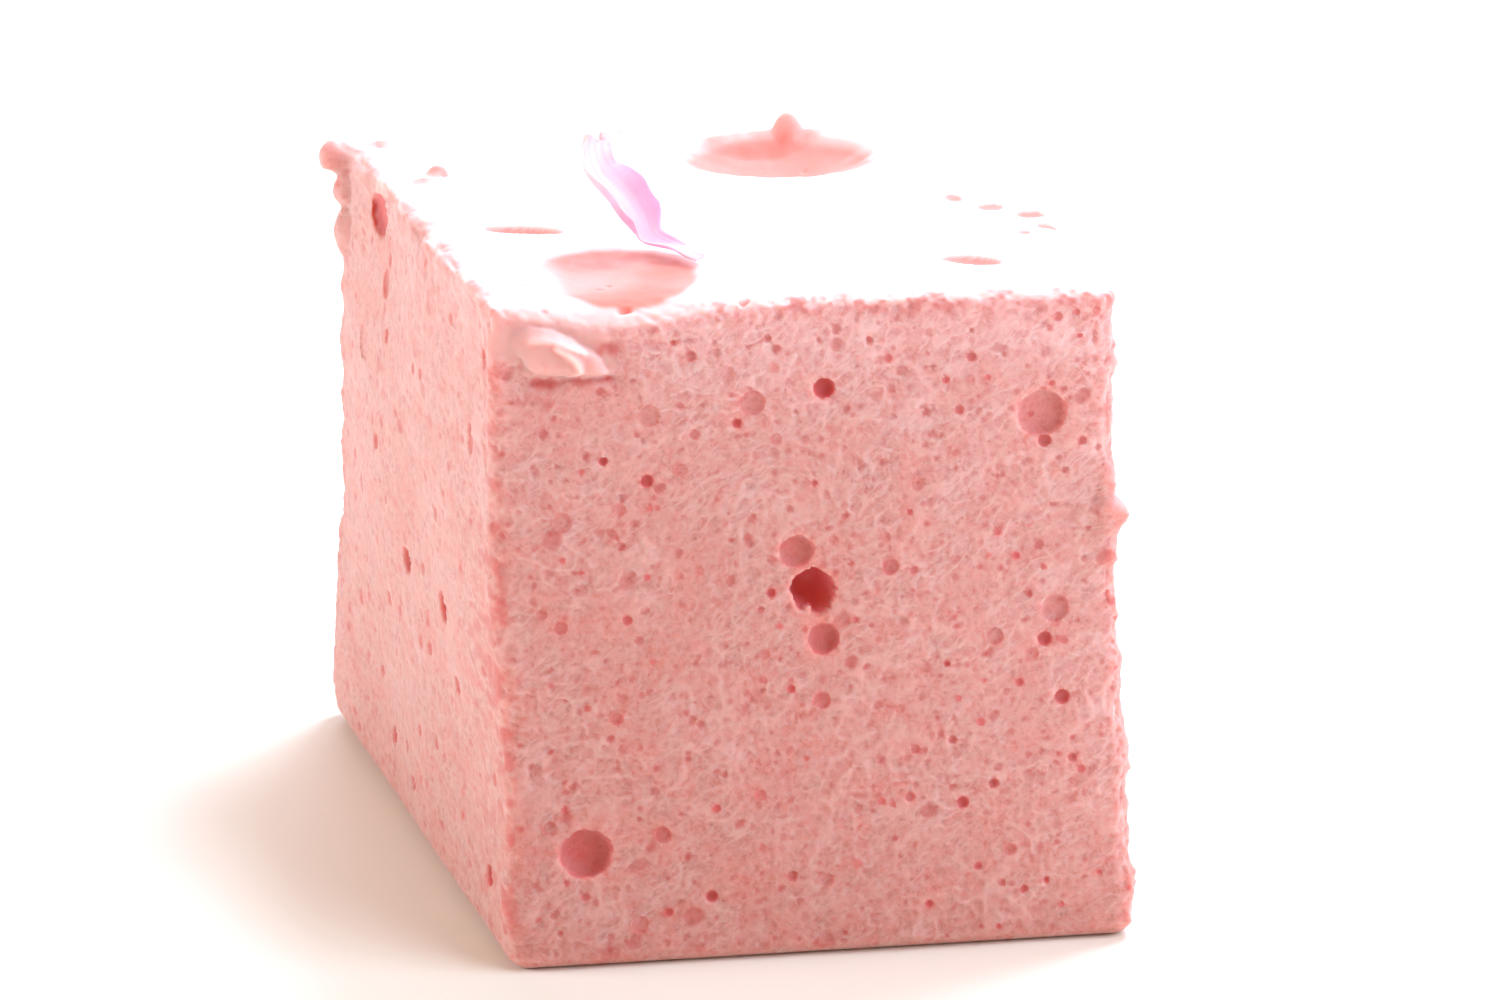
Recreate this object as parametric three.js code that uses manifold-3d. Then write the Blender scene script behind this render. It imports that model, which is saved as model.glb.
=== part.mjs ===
// A hand-cut cube of pink fruit marshmallow with one curled blossom petal standing on its top.
// Units are millimetres and +Z is up. The origin is under the middle of the block, on its base.
// The cut face with the large bubbles looks along -Y, and the smooth poured skin is on top.

import * as THREE from 'three';
import { mergeVertices } from 'three/addons/utils/BufferGeometryUtils.js';
import Module from 'manifold-3d';

// ---- Block: the corners of the cut, before its edges are rounded -------------------------------
const BASE_NEAR_LEFT = new THREE.Vector3(-17.7, -21.7, 0);
const BASE_NEAR_RIGHT = new THREE.Vector3(19.3, -23.4, 0);
const BASE_FAR_LEFT = new THREE.Vector3(-20.3, 23.4, 0);
const BASE_FAR_RIGHT = new THREE.Vector3(20.2, 20.4, 0);
const TOP_NEAR_LEFT = new THREE.Vector3(-18.8, -20.1, 40.0);
const TOP_NEAR_RIGHT = new THREE.Vector3(17.1, -22.1, 39.5);
const TOP_FAR_LEFT = new THREE.Vector3(-19.5, 21.6, 37.5);
const TOP_FAR_RIGHT = new THREE.Vector3(19.0, 20.2, 38.9);

const HALF_SIZE = new THREE.Vector3(18.8, 21.1, 19.6);
const EDGE_RADIUS_TOP = 1.0;
const EDGE_RADIUS_BASE = 1.3;
const CELLS_PER_EDGE = 17;
const FACE_SWELL = new THREE.Vector3(0.5, 0.35, 0.25);

// Slow waves that soft foam keeps after it has been cut; they fade out towards the flat base
const WAVE_HEIGHT = 0.22;
const WAVES = [
  { axis: 'x', length: 3.3, start: 0.4, upLength: 4.1, upStart: 1.9 },
  { axis: 'y', length: 3.7, start: 2.2, upLength: 4.6, upStart: 0.3 },
];
const FOOT_HEIGHT = 3.0;

// The poured skin sags over the near left corner of the top
const SAG_DEPTH = 1.1;
const SAG_CENTRE = new THREE.Vector2(-11.5, -21.0);
const SAG_REACH = new THREE.Vector2(5.0, 3.0);
const SAG_FROM_HEIGHT = 30.0;
const SAG_FULL_OVER = 9.0;

// Torn foam along the upright edges of the cut
const TUFT_HEIGHT = 0.55;
const TUFT_SEED = 7;

// Middle of the block's outline, which is put over the origin
const OUTLINE_CENTRE = new THREE.Vector3(-0.47, 0, 0);

// ---- Bubbles cut open by the knife: place on the face, radius of the opening and depth ---------
const FRONT_BUBBLES = [
  { across: -0.1, up: 22.4, radius: 1.3, depth: 2.9 },
  { across: -1.1, up: 24.8, radius: 1.0, depth: 0.8 },
  { across: 0.5, up: 19.5, radius: 0.95, depth: 0.8 },
  { across: 0.5, up: 34.4, radius: 0.65, depth: 1.3 },
  { across: 13.1, up: 32.4, radius: 1.45, depth: 1.0 },
  { across: 13.3, up: 30.7, radius: 0.45, depth: 0.7 },
  { across: -13.3, up: 7.2, radius: 1.55, depth: 1.3 },
  { across: -8.9, up: 8.2, radius: 0.55, depth: 0.5 },
  { across: -3.7, up: 33.8, radius: 0.78, depth: 0.45 },
  { across: -9.7, up: 29.4, radius: 0.42, depth: 0.6 },
  { across: 4.3, up: 23.7, radius: 0.53, depth: 0.45 },
  { across: 0.4, up: 15.8, radius: 0.55, depth: 0.5 },
  { across: 14.5, up: 15.2, radius: 0.48, depth: 0.6 },
  { across: 8.7, up: 9.1, radius: 0.4, depth: 0.55 },
  { across: -6.0, up: 4.2, radius: 0.4, depth: 0.5 },
];
const LEFT_BUBBLES = [
  { across: -7.9, up: 17.9, radius: 0.95, depth: 0.9 },
  { across: 1.6, up: 17.5, radius: 0.75, depth: 0.7 },
  { across: 6.5, up: 4.5, radius: 0.6, depth: 0.6 },
  { across: -16.3, up: 4.2, radius: 0.7, depth: 0.8 },
  { across: 12.0, up: 36.4, radius: 1.9, depth: 1.3 },
  { across: 8.9, up: 32.5, radius: 0.6, depth: 0.5 },
];
const SCATTERED = {
  seed: 41, onEachFace: 9, smallest: 0.5, largest: 1.4, depthShare: 0.9, margin: 4.0,
};

// ---- Hollows in the poured skin: place, half width, half length, depth and turn ----------------
const TOP_HOLLOWS = [
  { across: -9.9, up: -13.3, halfWidth: 4.9, halfLength: 5.8, depth: 1.9, turn: 0.15 },
  { across: 4.9, up: 10.2, halfWidth: 5.6, halfLength: 4.0, depth: 2.2, turn: -0.37 },
  { across: -13.3, up: -4.0, halfWidth: 2.2, halfLength: 1.9, depth: 0.7, turn: -0.5 },
  { across: 10.7, up: -16.2, halfWidth: 1.8, halfLength: 1.7, depth: 0.7, turn: -0.4 },
  { across: 15.6, up: -6.0, halfWidth: 1.1, halfLength: 0.8, depth: 0.5, turn: 0.3 },
  { across: 16.2, up: -8.6, halfWidth: 0.9, halfLength: 0.7, depth: 0.5, turn: -0.2 },
  { across: -10.6, up: -19.0, halfWidth: 0.5, halfLength: 0.4, depth: 0.4, turn: 0 },
];
const BOWL_STEEPNESS = 0.45;

// Fineness of the balls that cut bubbles and hollows, for each millimetre of opening radius
const BALL_DETAIL = 1.5;
const BOWL_DETAIL = 0.6;

// ---- Lumps that stand proud of the cut: centre, half sizes and turn about Y --------------------
const LUMPS = [
  // body, upper fold and lower fold of the skin flap that hangs over the near left corner
  { at: [-15.2, -19.8, 37.3], half: [3.0, 0.9, 1.3], turn: 0.25 },
  { at: [-14.3, -20.4, 37.7], half: [2.1, 1.0, 0.65], turn: 0.32 },
  { at: [-13.8, -20.6, 36.5], half: [1.6, 0.9, 0.75], turn: 0.75 },
  // torn knob at the far left corner, with its shoulder above and the torn edge below
  { at: [-19.7, 20.6, 36.3], half: [1.5, 1.4, 1.3], turn: 0.4 },
  { at: [-18.5, 20.8, 37.2], half: [1.5, 1.0, 0.7], turn: -0.2 },
  { at: [-19.7, 20.9, 33.7], half: [0.9, 1.1, 1.7], turn: 0 },
  // raised far lip of the dent near the back, its peak, and a nub beside the left edge
  { at: [6.2, 14.0, 38.4], half: [3.0, 0.8, 1.1], turn: 0 },
  { at: [6.7, 14.2, 38.8], half: [1.2, 0.7, 1.5], turn: 0 },
  { at: [-15.5, 12.2, 38.2], half: [0.8, 0.7, 0.7], turn: 0 },
];
const UNDERCUTS = [
  { at: [-15.2, -20.9, 35.1], half: [1.1, 1.0, 0.7], turn: 0.1 },
  { at: [-11.9, -21.2, 35.6], half: [0.5, 0.9, 0.4], turn: 0 },
  { at: [-11.2, -21.6, 37.6], half: [1.6, 1.2, 1.0], turn: 0.2 },
];

// ---- Petal: its spine from the lobe on the skin up to the curled tip, and half widths ----------
const PETAL_SPINE = [
  new THREE.Vector3(-4.9, -13.3, 40.0),
  new THREE.Vector3(-5.9, -11.2, 40.0),
  new THREE.Vector3(-7.1, -9.6, 40.1),
  new THREE.Vector3(-8.0, -8.9, 40.9),
  new THREE.Vector3(-9.0, -8.3, 42.1),
  new THREE.Vector3(-9.8, -7.7, 43.4),
  new THREE.Vector3(-10.0, -7.2, 44.6),
  new THREE.Vector3(-9.6, -7.0, 45.6),
  new THREE.Vector3(-8.8, -7.0, 46.2),
];
const PETAL_HALF_WIDTHS = [0.25, 0.6, 0.95, 1.5, 1.6, 1.15, 1.05, 0.95, 0.35];
const PETAL_CURLS = [0.3, 0.5, 0.8, 1.1, 1.2, 1.2, 1.1, 1.0, 0.8];
const PETAL_THICKNESS = 0.24;
const PETAL_STEPS = 26;
const PETAL_STRIPS = 6;
const PETAL_OPENS_AT_BASE = new THREE.Vector3(0.1, -0.1, 1).normalize();
const PETAL_OPENS_ABOVE = new THREE.Vector3(0.55, -0.8, 0.2).normalize();
const PETAL_RISES_FROM = 0.2;
const PETAL_STANDS_BY = 0.42;
const PETAL_FRILL = 0.1;
const PETAL_FRILL_WAVES = 5;
const PETAL_FRILL_SLANT = 2;

const marshmallowMaterial = new THREE.MeshStandardMaterial({ color: 0xeca69e, roughness: 0.85 });
const petalMaterial = new THREE.MeshStandardMaterial({ color: 0xf3c3e4, roughness: 0.6 });

const wasm = await Module();
wasm.setup();

// Steady pseudo-random numbers between 0 and 1, from a linear congruential series
const SERIES_FACTOR = 1664525;
const SERIES_STEP = 1013904223;
const SERIES_RANGE = 2 ** 32;

function seededRandom(seed) {
  let state = seed;
  return () => {
    state = (state * SERIES_FACTOR + SERIES_STEP) % SERIES_RANGE;
    return state / SERIES_RANGE;
  };
}

// ---- Solids in and out of the boolean library --------------------------------------------------
function toManifold(geometry) {
  const bare = geometry.clone();
  bare.deleteAttribute('normal');
  bare.deleteAttribute('uv');
  const merged = mergeVertices(bare);
  return new wasm.Manifold(new wasm.Mesh({
    numProp: 3,
    vertProperties: new Float32Array(merged.attributes.position.array),
    triVerts: new Uint32Array(merged.index.array),
  }));
}

function toGeometry(manifold) {
  const mesh = manifold.getMesh();
  const geometry = new THREE.BufferGeometry();
  geometry.setAttribute('position', new THREE.BufferAttribute(mesh.vertProperties, 3));
  geometry.setIndex(new THREE.BufferAttribute(mesh.triVerts, 1));
  geometry.computeVertexNormals();
  return geometry;
}

// ---- The block's surface -----------------------------------------------------------------------
// Blend of the eight corners at x, y and z between 0 and 1
function betweenCorners(x, y, z) {
  const along = (start, end, share) => start.clone().lerp(end, share);
  const base = along(along(BASE_NEAR_LEFT, BASE_NEAR_RIGHT, x),
    along(BASE_FAR_LEFT, BASE_FAR_RIGHT, x), y);
  const top = along(along(TOP_NEAR_LEFT, TOP_NEAR_RIGHT, x),
    along(TOP_FAR_LEFT, TOP_FAR_RIGHT, x), y);
  return base.lerp(top, z);
}

function foamWave(point) {
  let height = 0;
  for (const wave of WAVES) {
    const level = Math.sin(point[wave.axis] / wave.length + wave.start);
    height += WAVE_HEIGHT * level * Math.sin(point.z / wave.upLength + wave.upStart);
  }
  return height;
}

function skinSag(point) {
  const alongX = ((point.x - SAG_CENTRE.x) / SAG_REACH.x) ** 2;
  const alongY = ((point.y - SAG_CENTRE.y) / SAG_REACH.y) ** 2;
  const share = THREE.MathUtils.clamp((point.z - SAG_FROM_HEIGHT) / SAG_FULL_OVER, 0, 1);
  return SAG_DEPTH * share * Math.exp(-alongX - alongY);
}

// Place and outward direction of a point of the block, from a point of the cube -1..1
function blockSurface(cubePoint) {
  const radius = THREE.MathUtils.lerp(EDGE_RADIUS_BASE, EDGE_RADIUS_TOP, (cubePoint.z + 1) / 2);
  const boxPoint = cubePoint.clone().multiply(HALF_SIZE);
  const core = HALF_SIZE.clone().subScalar(radius);
  const inner = boxPoint.clone().clamp(core.clone().negate(), core);
  const outward = boxPoint.sub(inner).normalize();
  const rounded = inner.addScaledVector(outward, radius).divide(HALF_SIZE);

  const point = betweenCorners((rounded.x + 1) / 2, (rounded.y + 1) / 2, (rounded.z + 1) / 2);
  const fade = new THREE.Vector3(1 - rounded.x ** 2, 1 - rounded.y ** 2, 1 - rounded.z ** 2);
  const upward = Math.max(outward.z, 0);
  const swell = outward.x ** 2 * FACE_SWELL.x * fade.y * fade.z
    + outward.y ** 2 * FACE_SWELL.y * fade.x * fade.z
    + upward ** 2 * FACE_SWELL.z * fade.x * fade.y;
  const sideShare = (1 - outward.z ** 2) * THREE.MathUtils.clamp(point.z / FOOT_HEIGHT, 0, 1);
  const push = swell + foamWave(point) * sideShare;
  point.addScaledVector(new THREE.Vector3(outward.x, outward.y, upward), push);
  point.z -= skinSag(point);
  return { point, outward };
}

const FACES = {
  front: { axis: 'y', sign: -1, across: 'x', up: 'z' },
  back: { axis: 'y', sign: 1, across: 'x', up: 'z' },
  left: { axis: 'x', sign: -1, across: 'y', up: 'z' },
  right: { axis: 'x', sign: 1, across: 'y', up: 'z' },
  top: { axis: 'z', sign: 1, across: 'x', up: 'y' },
};
const PLACING_STEPS = 8;

// The surface where a face passes the two given coordinates
function placeOnFace(face, across, up) {
  const cubePoint = new THREE.Vector3();
  cubePoint[face.axis] = face.sign;
  let found = blockSurface(cubePoint);
  for (let step = 0; step < PLACING_STEPS; step += 1) {
    cubePoint[face.across] += (across - found.point[face.across]) / HALF_SIZE[face.across];
    cubePoint[face.up] += (up - found.point[face.up]) / HALF_SIZE[face.up];
    found = blockSurface(cubePoint);
  }
  return found;
}

function makeBlock() {
  const cells = CELLS_PER_EDGE;
  const cube = new THREE.BoxGeometry(2, 2, 2, cells, cells, cells);
  cube.deleteAttribute('normal');
  cube.deleteAttribute('uv');
  const lattice = mergeVertices(cube);
  const position = lattice.attributes.position;
  const random = seededRandom(TUFT_SEED);
  for (let index = 0; index < position.count; index += 1) {
    const cubePoint = new THREE.Vector3().fromBufferAttribute(position, index);
    const { point, outward } = blockSurface(cubePoint);
    const tuft = random();
    const onUprightEdge = Math.abs(cubePoint.x) === 1 && Math.abs(cubePoint.y) === 1;
    if (onUprightEdge && Math.abs(cubePoint.z) < 1) {
      const flat = new THREE.Vector3(outward.x, outward.y, 0);
      point.addScaledVector(flat, TUFT_HEIGHT * tuft);
    }
    position.setXYZ(index, point.x, point.y, point.z);
  }
  return toManifold(lattice);
}

// ---- Cuts and lumps ----------------------------------------------------------------------------
// Part of a ball whose opening has radius 1 and lies in z = 0, with its bowl below
function unitBowl(depth, detail) {
  const radius = (1 + depth ** 2) / (2 * depth);
  const ball = new THREE.IcosahedronGeometry(radius, detail);
  ball.translate(0, 0, radius - depth);
  return ball;
}

function bubbleCut(face, bubble) {
  const { point, outward } = placeOnFace(face, bubble.across, bubble.up);
  const ball = unitBowl(bubble.depth / bubble.radius, Math.round(bubble.radius * BALL_DETAIL));
  ball.scale(bubble.radius, bubble.radius, bubble.radius);
  const turn = new THREE.Quaternion().setFromUnitVectors(new THREE.Vector3(0, 0, 1), outward);
  ball.applyQuaternion(turn);
  ball.translate(point.x, point.y, point.z);
  return toManifold(ball);
}

function hollowCut(hollow) {
  const { point } = placeOnFace(FACES.top, hollow.across, hollow.up);
  const bowl = unitBowl(BOWL_STEEPNESS, Math.round(1 + hollow.halfWidth * BOWL_DETAIL));
  bowl.scale(hollow.halfWidth, hollow.halfLength, hollow.depth / BOWL_STEEPNESS);
  bowl.rotateZ(hollow.turn);
  bowl.translate(point.x, point.y, point.z);
  return toManifold(bowl);
}

function ellipsoid(lump) {
  const ball = new THREE.IcosahedronGeometry(1, 2);
  ball.scale(...lump.half);
  ball.rotateY(lump.turn);
  ball.translate(...lump.at);
  return toManifold(ball);
}

// Bubbles of the faces that were cut the same way, spread by seeded chance
function scatterBubbles() {
  const random = seededRandom(SCATTERED.seed);
  const cuts = [];
  for (const face of [FACES.back, FACES.right]) {
    for (let count = 0; count < SCATTERED.onEachFace; count += 1) {
      const reach = HALF_SIZE[face.across] - SCATTERED.margin;
      const across = THREE.MathUtils.lerp(-reach, reach, random());
      const highest = 2 * HALF_SIZE.z - SCATTERED.margin;
      const up = THREE.MathUtils.lerp(SCATTERED.margin, highest, random());
      const radius = THREE.MathUtils.lerp(SCATTERED.smallest, SCATTERED.largest, random() ** 2);
      cuts.push(bubbleCut(face, { across, up, radius, depth: radius * SCATTERED.depthShare }));
    }
  }
  return cuts;
}

function makeMarshmallow() {
  let solid = makeBlock();
  for (const lump of LUMPS) {
    solid = solid.add(ellipsoid(lump));
  }
  const cuts = [
    ...FRONT_BUBBLES.map((bubble) => bubbleCut(FACES.front, bubble)),
    ...LEFT_BUBBLES.map((bubble) => bubbleCut(FACES.left, bubble)),
    ...TOP_HOLLOWS.map(hollowCut),
    ...UNDERCUTS.map(ellipsoid),
    ...scatterBubbles(),
  ];
  for (const cut of cuts) {
    solid = solid.subtract(cut);
  }
  const mesh = new THREE.Mesh(toGeometry(solid), marshmallowMaterial);
  mesh.name = 'marshmallow';
  return mesh;
}

// ---- Petal -------------------------------------------------------------------------------------
// Value of a list of settings at a share of its length
function settingAt(list, share) {
  const place = share * (list.length - 1);
  const index = Math.min(Math.floor(place), list.length - 2);
  return THREE.MathUtils.lerp(list[index], list[index + 1], place - index);
}

function petalPoint(spine, share, side, face) {
  const centre = spine.getPoint(share);
  const tangent = spine.getTangent(share);
  const stand = THREE.MathUtils.smoothstep(share, PETAL_RISES_FROM, PETAL_STANDS_BY);
  const opens = PETAL_OPENS_AT_BASE.clone().lerp(PETAL_OPENS_ABOVE, stand);
  opens.addScaledVector(tangent, -opens.dot(tangent)).normalize();
  const across = new THREE.Vector3().crossVectors(tangent, opens);
  const curl = settingAt(PETAL_CURLS, share);
  const bend = settingAt(PETAL_HALF_WIDTHS, share) / Math.sin(curl);
  const angle = side * curl;
  const inward = opens.clone().multiplyScalar(Math.cos(angle));
  inward.addScaledVector(across, -Math.sin(angle));
  const wave = 2 * Math.PI * PETAL_FRILL_WAVES * share + PETAL_FRILL_SLANT * side;
  const frill = PETAL_FRILL * side ** 2 * Math.sin(wave);
  return centre
    .addScaledVector(across, bend * Math.sin(angle))
    .addScaledVector(opens, bend * (1 - Math.cos(angle)))
    .addScaledVector(inward, frill + face * PETAL_THICKNESS / 2);
}

function makePetal() {
  const spine = new THREE.CatmullRomCurve3(PETAL_SPINE, false, 'catmullrom', 0.5);
  const columns = PETAL_STRIPS + 1;
  const faceSize = (PETAL_STEPS + 1) * columns;
  const places = [];
  for (const face of [-1, 1]) {
    for (let step = 0; step <= PETAL_STEPS; step += 1) {
      for (let strip = 0; strip <= PETAL_STRIPS; strip += 1) {
        const side = 2 * strip / PETAL_STRIPS - 1;
        const point = petalPoint(spine, step / PETAL_STEPS, side, face);
        places.push(point.x, point.y, point.z);
      }
    }
  }
  const triangles = [];
  const quad = (a, b, c, d) => triangles.push(a, b, c, a, c, d);
  for (let step = 0; step < PETAL_STEPS; step += 1) {
    for (let strip = 0; strip < PETAL_STRIPS; strip += 1) {
      const corner = step * columns + strip;
      const next = corner + columns;
      quad(corner, next, next + 1, corner + 1);
      triangles.push(faceSize + corner, faceSize + next + 1, faceSize + next);
      triangles.push(faceSize + corner, faceSize + corner + 1, faceSize + next + 1);
    }
    const low = step * columns;
    const high = low + PETAL_STRIPS;
    quad(low, faceSize + low, faceSize + low + columns, low + columns);
    quad(high, high + columns, faceSize + high + columns, faceSize + high);
  }
  const last = PETAL_STEPS * columns;
  for (let strip = 0; strip < PETAL_STRIPS; strip += 1) {
    quad(strip, strip + 1, faceSize + strip + 1, faceSize + strip);
    const tip = last + strip;
    quad(tip, faceSize + tip, faceSize + tip + 1, tip + 1);
  }
  const geometry = new THREE.BufferGeometry();
  geometry.setAttribute('position', new THREE.Float32BufferAttribute(places, 3));
  geometry.setIndex(triangles);
  geometry.computeVertexNormals();
  const mesh = new THREE.Mesh(geometry, petalMaterial);
  mesh.name = 'petal';
  return mesh;
}

const part = new THREE.Group();
part.add(makeMarshmallow(), makePetal());
part.position.copy(OUTLINE_CENTRE).negate();

export default part;
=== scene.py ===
"""Looks of the cube marshmallow: open foam with bubbles, poured skin and a curled petal.

Shapes are worked out in millimetres in the block's own frame, as the solids are, and moved by
ROW_SHIFT and scaled to metres when a mesh is made. Colours are linear red, green and blue.
"""

import math

import bpy
import numpy as np
from mathutils import Matrix, Vector


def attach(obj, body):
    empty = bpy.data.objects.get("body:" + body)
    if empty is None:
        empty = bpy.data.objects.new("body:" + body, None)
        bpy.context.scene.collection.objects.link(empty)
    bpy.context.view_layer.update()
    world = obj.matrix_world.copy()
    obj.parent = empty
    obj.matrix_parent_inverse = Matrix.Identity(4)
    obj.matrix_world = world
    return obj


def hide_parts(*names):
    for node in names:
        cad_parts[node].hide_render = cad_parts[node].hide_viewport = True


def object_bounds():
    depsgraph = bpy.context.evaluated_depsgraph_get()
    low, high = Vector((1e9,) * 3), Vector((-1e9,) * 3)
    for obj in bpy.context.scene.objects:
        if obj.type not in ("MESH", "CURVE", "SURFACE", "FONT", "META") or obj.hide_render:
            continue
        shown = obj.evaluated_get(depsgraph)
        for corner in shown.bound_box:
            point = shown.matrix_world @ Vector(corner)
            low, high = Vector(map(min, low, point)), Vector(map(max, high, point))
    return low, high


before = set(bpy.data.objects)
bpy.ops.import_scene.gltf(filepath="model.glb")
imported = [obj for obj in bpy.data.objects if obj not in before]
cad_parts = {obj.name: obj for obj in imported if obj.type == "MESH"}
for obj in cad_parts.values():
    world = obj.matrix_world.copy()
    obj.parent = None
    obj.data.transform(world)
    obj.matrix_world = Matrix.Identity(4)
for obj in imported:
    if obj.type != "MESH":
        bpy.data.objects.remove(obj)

cad_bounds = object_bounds()

MM = 0.001
ROW_SHIFT = np.array([0.47, 0.0, 0.0])
X, Y, Z = 0, 1, 2

# ---- Block form, as in the solid
BASE_CORNERS = np.array([[[-17.7, -21.7, 0.0], [19.3, -23.4, 0.0]],
                         [[-20.3, 23.4, 0.0], [20.2, 20.4, 0.0]]])
TOP_CORNERS = np.array([[[-18.8, -20.1, 40.0], [17.1, -22.1, 39.5]],
                        [[-19.5, 21.6, 37.5], [19.0, 20.2, 38.9]]])
HALF_SIZE = np.array([18.8, 21.1, 19.6])
EDGE_RADIUS_TOP = 1.0
EDGE_RADIUS_BASE = 1.3
FACE_SWELL = np.array([0.5, 0.35, 0.25])
WAVE_HEIGHT = 0.22
# Waves of the sides: axis they run along, length and start on it, length and start upward
WAVES = [(X, 3.3, 0.4, 4.1, 1.9), (Y, 3.7, 2.2, 4.6, 0.3)]
FOOT_HEIGHT = 3.0
SAG_DEPTH, SAG_CENTRE, SAG_REACH = 1.1, (-11.5, -21.0), (5.0, 3.0)
SAG_FROM_HEIGHT, SAG_FULL_OVER = 30.0, 9.0
PLACING_ROUNDS = 8

FACES = {
    # axis and way that it faces, axes across it and up it
    "front": (Y, -1, X, Z), "back": (Y, 1, X, Z), "left": (X, -1, Y, Z),
    "right": (X, 1, Y, Z), "top": (Z, 1, X, Y), "base": (Z, -1, X, Y),
}
LATTICE_STEP = np.array([0.14, 0.21, 0.14])

# ---- Bubbles that show: place on the face, opening radius, depth, tone of the painted shade inside
DEEP_BUBBLE = (-0.1, 22.4, 1.32, 2.9, 1.0)
DEEP_BUBBLE_TOOTH, TOOTH_LENGTH, TOOTH_WIDTH = math.radians(-105), 0.42, 0.13
DEEP_BUBBLE_TALL = 0.07
FRONT_BUBBLES = [
    (-1.1, 24.8, 1.0, 0.8, 0.42), (0.5, 19.5, 0.95, 0.9, 0.6),
    (0.5, 34.4, 0.62, 0.9, 0.95), (13.1, 32.4, 1.42, 0.85, 0.38), (13.3, 30.7, 0.42, 0.8, 0.7),
    (-13.3, 7.2, 1.5, 1.3, 0.62), (-8.9, 8.2, 0.52, 0.5, 0.45), (-3.7, 33.8, 0.76, 0.4, 0.35),
    (-5.2, 35.6, 0.52, 0.25, 0.2), (-9.7, 29.4, 0.4, 0.8, 0.8), (-12.2, 30.7, 0.28, 0.6, 0.8),
    (-11.3, 27.8, 0.4, 0.3, 0.4), (-14.6, 27.2, 0.6, 0.3, 0.25), (-11.2, 25.6, 0.28, 0.4, 0.5),
    (-14.7, 20.9, 0.42, 0.4, 0.45), (-11.5, 15.3, 0.4, 0.4, 0.45), (4.3, 23.7, 0.53, 0.5, 0.5),
    (5.7, 23.4, 0.28, 0.4, 0.5), (0.4, 15.8, 0.53, 0.5, 0.5), (14.5, 15.2, 0.46, 0.8, 0.8),
    (13.5, 18.7, 0.44, 0.8, 0.8), (12.0, 16.2, 0.28, 0.5, 0.7), (14.1, 20.5, 0.85, 0.45, 0.3),
    (8.7, 9.1, 0.38, 0.7, 0.85), (5.6, 9.6, 0.3, 0.4, 0.5), (11.5, 6.1, 0.4, 0.4, 0.4),
    (-3.2, 10.3, 0.38, 0.35, 0.45), (-6.0, 4.2, 0.38, 0.7, 0.8), (-10.2, 2.7, 0.58, 0.35, 0.3),
    (-13.4, 4.6, 0.28, 0.4, 0.55), (-9.6, 33.3, 0.65, 0.3, 0.18),
    (-7.2, 36.7, 0.34, 0.5, 0.5), (9.0, 35.9, 0.3, 0.5, 0.6), (8.3, 32.8, 0.3, 0.5, 0.6),
    (15.5, 30.6, 0.28, 0.4, 0.55), (-7.0, 32.1, 0.32, 0.4, 0.45), (-1.3, 5.2, 0.34, 0.5, 0.55),
    (3.1, 37.1, 0.22, 0.4, 0.5), (-7.8, 30.0, 0.45, 0.25, 0.2), (14.6, 18.6, 0.26, 0.3, 0.45),
    (-0.1, 28.9, 0.2, 0.4, 0.7), (-13.2, 16.0, 0.22, 0.3, 0.5), (-11.9, 14.1, 0.22, 0.3, 0.45),
    (13.9, 38.1, 0.3, 0.3, 0.5), (15.0, 38.3, 0.24, 0.3, 0.6), (16.2, 38.3, 0.28, 0.3, 0.5),
]
LEFT_BUBBLES = [
    (-7.9, 17.9, 0.95, 0.9, 0.5), (1.6, 17.5, 0.75, 0.7, 0.45), (6.5, 4.5, 0.6, 0.6, 0.5),
    (-16.3, 4.2, 0.7, 0.7, 0.55), (8.9, 32.5, 0.9, 0.25, 0.3), (-10.5, 13.9, 0.55, 0.4, 0.35),
    (0.5, 3.7, 0.5, 0.4, 0.35), (-17.4, 36.1, 0.6, 0.4, 0.45), (13.8, 27.4, 1.1, 0.2, 0.15),
]
SALMON_HOLLOW = (12.0, 35.9, 1.7, 0.55, 0.85)
SALMON_HOLLOW_TALL = -0.26
SALMON_HOLLOW_SOFT = 0.8

# ---- Hollows in the skin: place, half width, half length, depth, turn, tone of the painted shade, side where that shade fades
FADES_LEFT, FADES_NEAR = math.radians(-15), math.radians(90)
FADE_FROM, FADE_TO = -1.05, -0.45
TOP_HOLLOWS = [
    (-10.1, -13.7, 5.1, 5.8, 0.42, 0.12, 1.0, FADES_LEFT),
    (5.0, 9.8, 6.1, 5.2, 2.0, -0.23, 0.72, FADES_NEAR),
    (-13.2, -2.8, 2.6, 0.9, 0.6, -0.52, 0.6, FADES_NEAR),
    (10.7, -14.9, 1.9, 1.0, 0.6, -0.4, 0.62, FADES_NEAR),
    (16.6, -6.0, 1.0, 0.8, 0.4, 0.3, 0.6, FADES_NEAR),
    (17.0, -8.6, 0.8, 0.7, 0.4, -0.2, 0.6, FADES_NEAR),
    (14.6, -4.3, 0.9, 0.8, 0.3, 0.5, 0.6, FADES_NEAR),
    (15.2, -9.8, 0.5, 0.5, 0.2, 0.0, 0.5, FADES_NEAR),
    (12.9, -2.0, 0.6, 0.9, 0.3, 0.1, 0.55, FADES_NEAR),
    (-10.6, -19.1, 0.5, 0.4, 0.4, 0.0, 0.6, FADES_NEAR),
    (-4.0, -20.4, 0.35, 0.3, 0.3, 0.0, 0.5, FADES_NEAR),
]
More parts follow.
